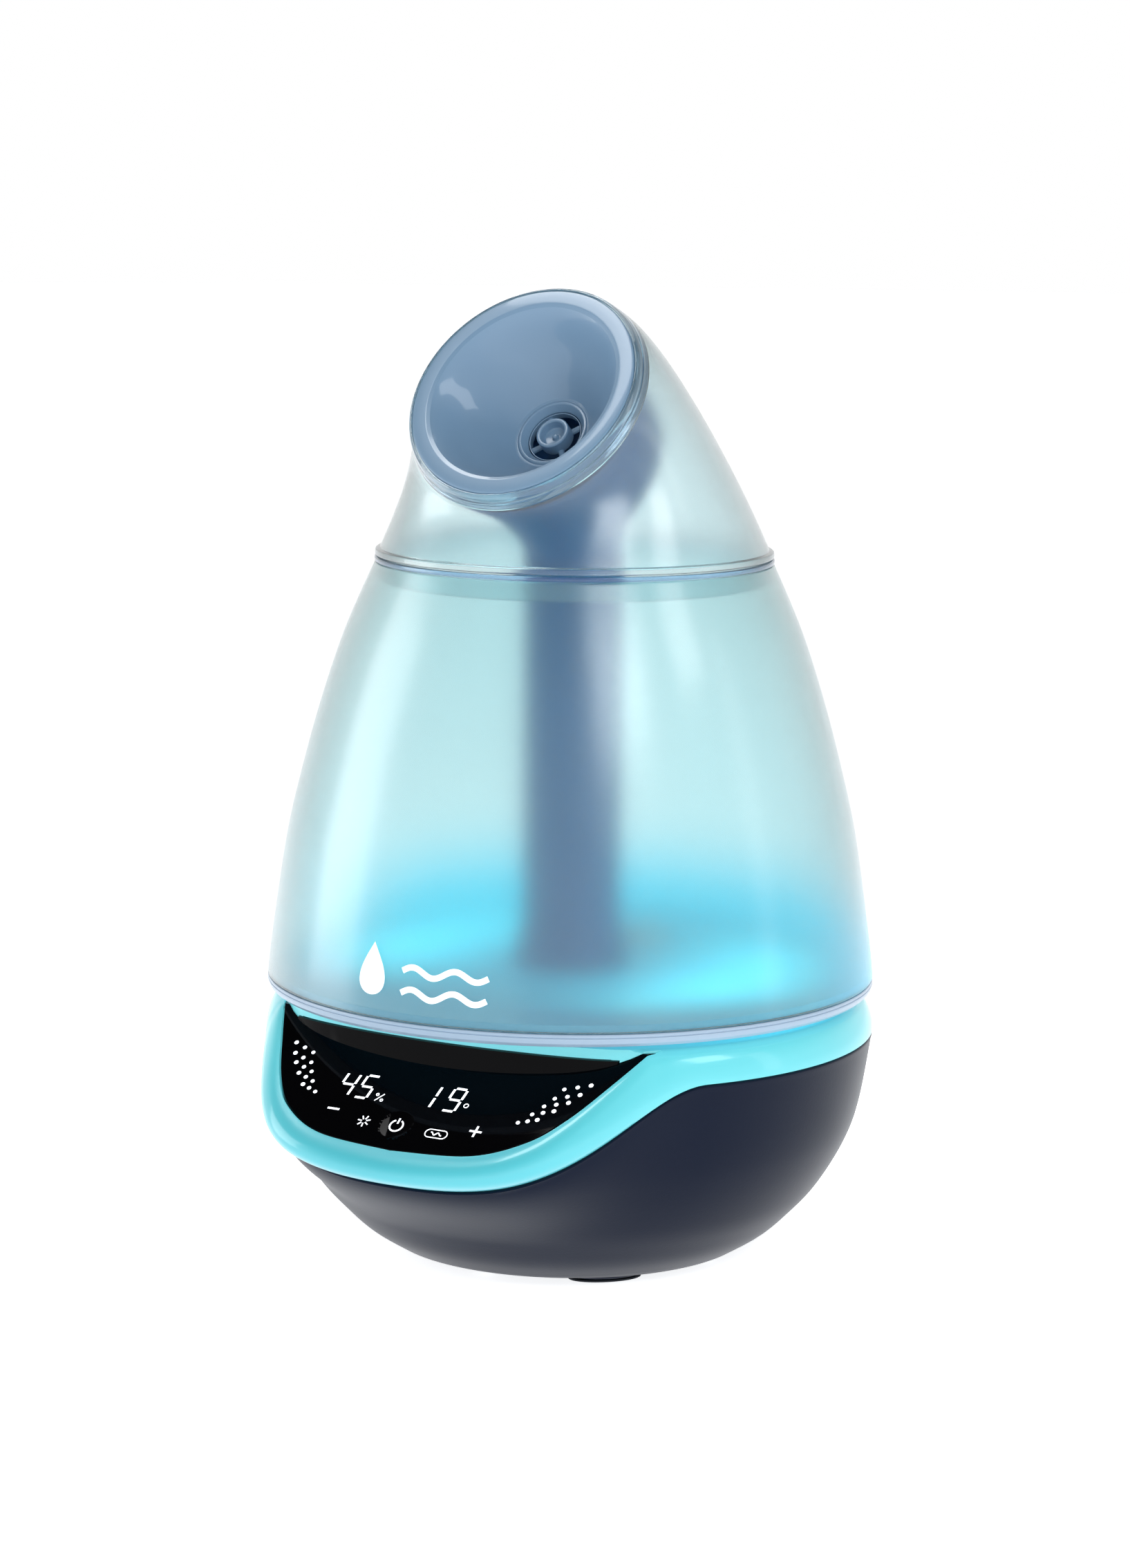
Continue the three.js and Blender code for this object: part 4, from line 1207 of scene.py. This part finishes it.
def makeTray():
    bottom, top = low("water_tray"), high("water_tray")
    floorHeight = bottom + 8
    body = turned("waterTray", rounded([
        (0, bottom), (18, bottom, 1), (22, floorHeight, 1), (79, floorHeight, 2), (82, floorHeight + 6, 2),
        (82, top - 3), (tray["outer"], top - 3), (tray["outer"], top, 0.8), (79.8, top, 0.8),
        (79.8, floorHeight + 7, 3), (77.5, floorHeight + tray["wall"], 3),
        (21, floorHeight + tray["wall"], 1.5), (17, bottom + tray["wall"], 1), (0, bottom + tray["wall"]),
    ], 0.5, 6), segments=144)
    x, y, bore, outer, portTop = tray["port"]
    postX, postY, post, postTop = tray["post"]
    port = turned("port", rounded([
        (0, floorHeight - 2), (outer, floorHeight - 2), (outer, portTop, 0.8), (0, portTop),
    ]), x, y, 72)
    carve(body, [port, rod("post", post, floorHeight + 1, postTop, postX, postY)], "UNION")
    cuts = [rod("bore", bore, bottom - 2, 90, x, y, segments=72),
            rod("seat", tray["seat"], bottom - 9, bottom + 4)]
    install(carve(body, cuts), finishes["white"], "water_tray")


def remadeWasher(name, node, finish, inner, edge=0.3):
    # a fine turned copy of a plain ring or disc, on its CAD node's own box
    least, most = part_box(node)
    x, y = (least.x + most.x) / 2 / mm, ((least.y + most.y) / 2 - axisY) / mm
    outer = (most.x - least.x) / 2 / mm
    bottom, top = low(node), high(node)
    outline = rounded([(inner, bottom), (outer, bottom), (outer, top), (inner, top)], edge)
    install(turned(name, outline, x, y, 72), finish, node)


valve = {"y": 52, "cap": 23, "grips": 36, "gripRadius": 0.8, "slot": 7}


def makeCap():
    bottom, cage = low("valve_cap"), high("valve_cap")
    radius, slot = valve["cap"], valve["slot"]
    cap = turned("fillerCap", rounded([
        (6, bottom), (radius, bottom, 1), (radius, bottom + 11.8, 0.6), (20.3, bottom + 11.8),
        (20.3, bottom + 3), (11, bottom + 3), (11, cage, 0.6), (3.2, cage), (3.2, cage - 1.6),
        (9.2, cage - 1.6), (9.2, bottom + 3), (6, bottom + 3),
    ], 0.3), y=valve["y"], segments=96)
    cuts = [block("slot", width, depth, 9, 0, valve["y"], bottom + 7)
            for width, depth in ((60, slot), (slot, 60))]
    # finger grips round the cap's rim
    for i in range(valve["grips"]):
        x, y = around(radius + 0.4, 2 * math.pi * i / valve["grips"]).xy
        cuts.append(rod("grip", valve["gripRadius"], bottom - 1, bottom + 10, x, y + valve["y"], segments=10))
    install(carve(cap, cuts), finishes["white"], "valve_cap")


def makePlunger():
    bottom, top = low("valve_plunger"), high("valve_plunger")
    install(turned("valvePlunger", rounded([
        (0, bottom), (2, bottom, 0.8), (2.4, bottom + 1.1), (2.4, bottom + 15.5), (8, bottom + 15.5),
        (8, bottom + 17.5), (2.4, bottom + 17.5), (2.4, top, 0.8), (0, top),
    ], 0.3), y=valve["y"], segments=64), finishes["white"], "valve_plunger")


spring = {"radius": 5.2, "wire": 0.45, "turns": 3.5, "slices": 150, "sides": 10}


def makeSpring():
    s = spring
    bottom, top = low("valve_spring") + s["wire"], high("valve_spring") - s["wire"]
    sections = []
    for i in range(s["slices"] + 1):
        angle = 2 * math.pi * s["turns"] * i / s["slices"]
        z = mix(bottom, top, i / s["slices"])
        spot = Vector((s["radius"] * math.cos(angle), s["radius"] * math.sin(angle) + valve["y"], z))
        away = Vector((math.cos(angle), math.sin(angle), 0))
        sections.append([spot + (away * math.cos(a) + Vector((0, 0, math.sin(a)))) * s["wire"]
                         for a in (2 * math.pi * k / s["sides"] for k in range(s["sides"]))])
    coil = capped("valveSpring", sections)
    coil.data.materials.append(finishes["metal"])
    middleY = axisY + valve["y"] * mm
    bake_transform(coil)
    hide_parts("valve_spring")


# everything is made here, piece by piece

for stage, makers in (
        ("tank", (makeTank, makeCollar, makeTankFloor, makeChimney, makeNeckRing, makeTankMark)),
        ("nozzle", (makeDome, makeTrim, makeFunnel, makeHub)),
        ("display", (makeRing, makeLens, makeFigures, makeKeySigns, makeLamps)),
        ("base", (makeBowl, makeCover, makeDrawer, makePad, makeSocket)),
        ("water works", (makeTray, makeCap, makePlunger, makeSpring))):
    for make in makers:
        make()
    print("made the", stage)

for name, node, finish, inner in (
        ("levelFloat", "level_float", "white", 3.1), ("floatClip", "float_clip", "metal", 2.75),
        ("transducerDisc", "transducer_disc", "metal", 0),
        ("transducerSeal", "transducer_seal", "rubber", 9.6),
        ("transducerClamp", "transducer_clamp", "brass", 6), ("capSeal", "cap_seal", "rubber", 11.4)):
    remadeWasher(name, node, finishes[finish], inner)

# every CAD node takes its slot's finish; those that no piece replaces are seen with it
slotFinish = {
    "shell_plastic": "shell", "soft_rubber": "rubber", "zinc_metal": "metal", "light_diffuser": "ring",
    "lens_black": "lens", "white_plastic": "white", "circuit_board": "board", "brass_metal": "brass",
    "black_plastic": "black", "felt": "felt", "tank_clear": "tank", "dome_clear": "dome",
    "trim_clear": "clear", "collar_plastic": "collar", "funnel_plastic": "funnel",
    "chimney_plastic": "chimney",
}
for node, piece in frame["nodes"].items():
    piece.data.materials.clear()
    piece.data.materials.append(finishes[slotFinish[slotOf[node]]])
print("finishes given to the CAD nodes")


# studio: pale floor, soft light and the camera

studio = {"floor": 9, "floorColour": (250, 251, 252), "floorShade": (246, 248, 250), "floorGlow": 0.88,
          "sky": [(0.0, 1.0), (0.16, 1.0), (0.5, 0.3), (0.8, 0.06)]}


def makeFloor():
    mesh = bpy.data.meshes.new("studioFloor")
    sides = 96
    rings = [0, 0.3, 0.8, studio["floor"]]
    points = [(r * math.cos(2 * math.pi * k / sides), r * math.sin(2 * math.pi * k / sides), 0)
              for r in rings[1:] for k in range(sides)] + [(0, 0, 0)]
    faces = [(len(points) - 1, k, (k + 1) % sides) for k in range(sides)]
    for i in range(len(rings) - 2):
        here, there = i * sides, (i + 1) * sides
        faces += [(here + k, there + k, there + (k + 1) % sides, here + (k + 1) % sides) for k in range(sides)]
    mesh.from_pydata(points, [], faces)
    floor = bpy.data.objects.new("studioFloor", mesh)
    bpy.context.scene.collection.objects.link(floor)
    colour = tint(*studio["floorColour"])
    paint = Paint("floorPale", {"Roughness": 0.7, "Specular IOR Level": 0.1, "Emission Color": colour,
                                "Emission Strength": studio["floorGlow"]})
    paint.vary(Base_Color=paint.blend(paint.noise(3, 2), colour, tint(*studio["floorShade"])))
    mesh.materials.append(paint.material)


def softbox(name, place, target, width, height, radiance, glossOnly=False):
    light = bpy.data.lights.new(name, "AREA")
    light.shape = "RECTANGLE"
    light.size, light.size_y = width, height
    light.energy = radiance * math.pi * width * height
    lamp = bpy.data.objects.new(name, light)
    bpy.context.scene.collection.objects.link(lamp)
    lamp.location = place
    lamp.rotation_euler = (Vector(target) - Vector(place)).to_track_quat("-Z", "Y").to_euler()
    if glossOnly:
        lamp.visible_diffuse = False
        lamp.visible_transmission = False
    return lamp


def makeSky():
    # bright round the horizon and darker overhead, as in a white cove
    world = bpy.data.worlds.new("studio")
    bpy.context.scene.world = world
    world.use_nodes = True
    sky = Sheet(world.node_tree)
    direction = sky.node("ShaderNodeTexCoord", output="Generated")
    height = sky.node("ShaderNodeSeparateXYZ", sockets={0: direction}, output="Z")
    stops = [(place, (value, value, value, 1)) for place, value in studio["sky"]]
    background = sky.tree.nodes["Background"]
    sky.feed(background.inputs["Color"], sky.node("ShaderNodeValToRGB", {"stops": stops}, {0: height}))
    background.inputs["Strength"].default_value = 1.0


makeFloor()
makeSky()
centre = Vector((0, axisY, 0.17))
key = softbox("keyBox", (1.0, -0.75, 1.0), centre, 0.6, 0.6, 8)
key.visible_glossy = False
softbox("windowCard", (0.85, 0, 0.74), (0, axisY, 0.31), 0.24, 0.3, 5.0, True)
softbox("topBox", (-0.1, 0.5, 1.2), centre, 0.7, 0.7, 1.5)
softbox("leftBox", (-1.15, -0.45, 0.4), centre, 0.6, 0.8, 2.6)
softbox("rightCard", (1.3, 0.45, 0.45), centre, 0.2, 0.9, 1.2, True)
# a card that lies flat overhead, turned a little, and shows only in gloss
card = softbox("flatCard", (-0.283, axisY - 0.017, 0.943), (-0.283, axisY - 0.017, 0), 0.36, 0.6, 7.0, True)
card.rotation_euler = (0, 0, math.radians(18.9))
bpy.context.scene.view_settings.view_transform = "Standard"

view = {"turn": math.radians(30.6), "distance": 1.4708, "height": 0.4066, "aside": 0.00263,
        "tilt": math.radians(80.8615), "roll": math.radians(0.5836), "lens": 130.63}


def makeCamera():
    camera = bpy.data.cameras.new("camera")
    camera.lens = view["lens"]
    camera.sensor_width = 36
    camera.sensor_fit = "HORIZONTAL"
    holder = bpy.data.objects.new("camera", camera)
    bpy.context.scene.collection.objects.link(holder)
    turn, away, aside = view["turn"], view["distance"], view["aside"]
    place = Vector((away * math.sin(turn) - aside * math.cos(turn),
                    axisY - away * math.cos(turn) - aside * math.sin(turn), view["height"]))
    holder.matrix_world = (Matrix.Translation(place) @ Matrix.Rotation(turn, 4, "Z")
                           @ Matrix.Rotation(view["tilt"], 4, "X") @ Matrix.Rotation(view["roll"], 4, "Z"))
    bpy.context.scene.camera = holder


makeCamera()
print("studio set")
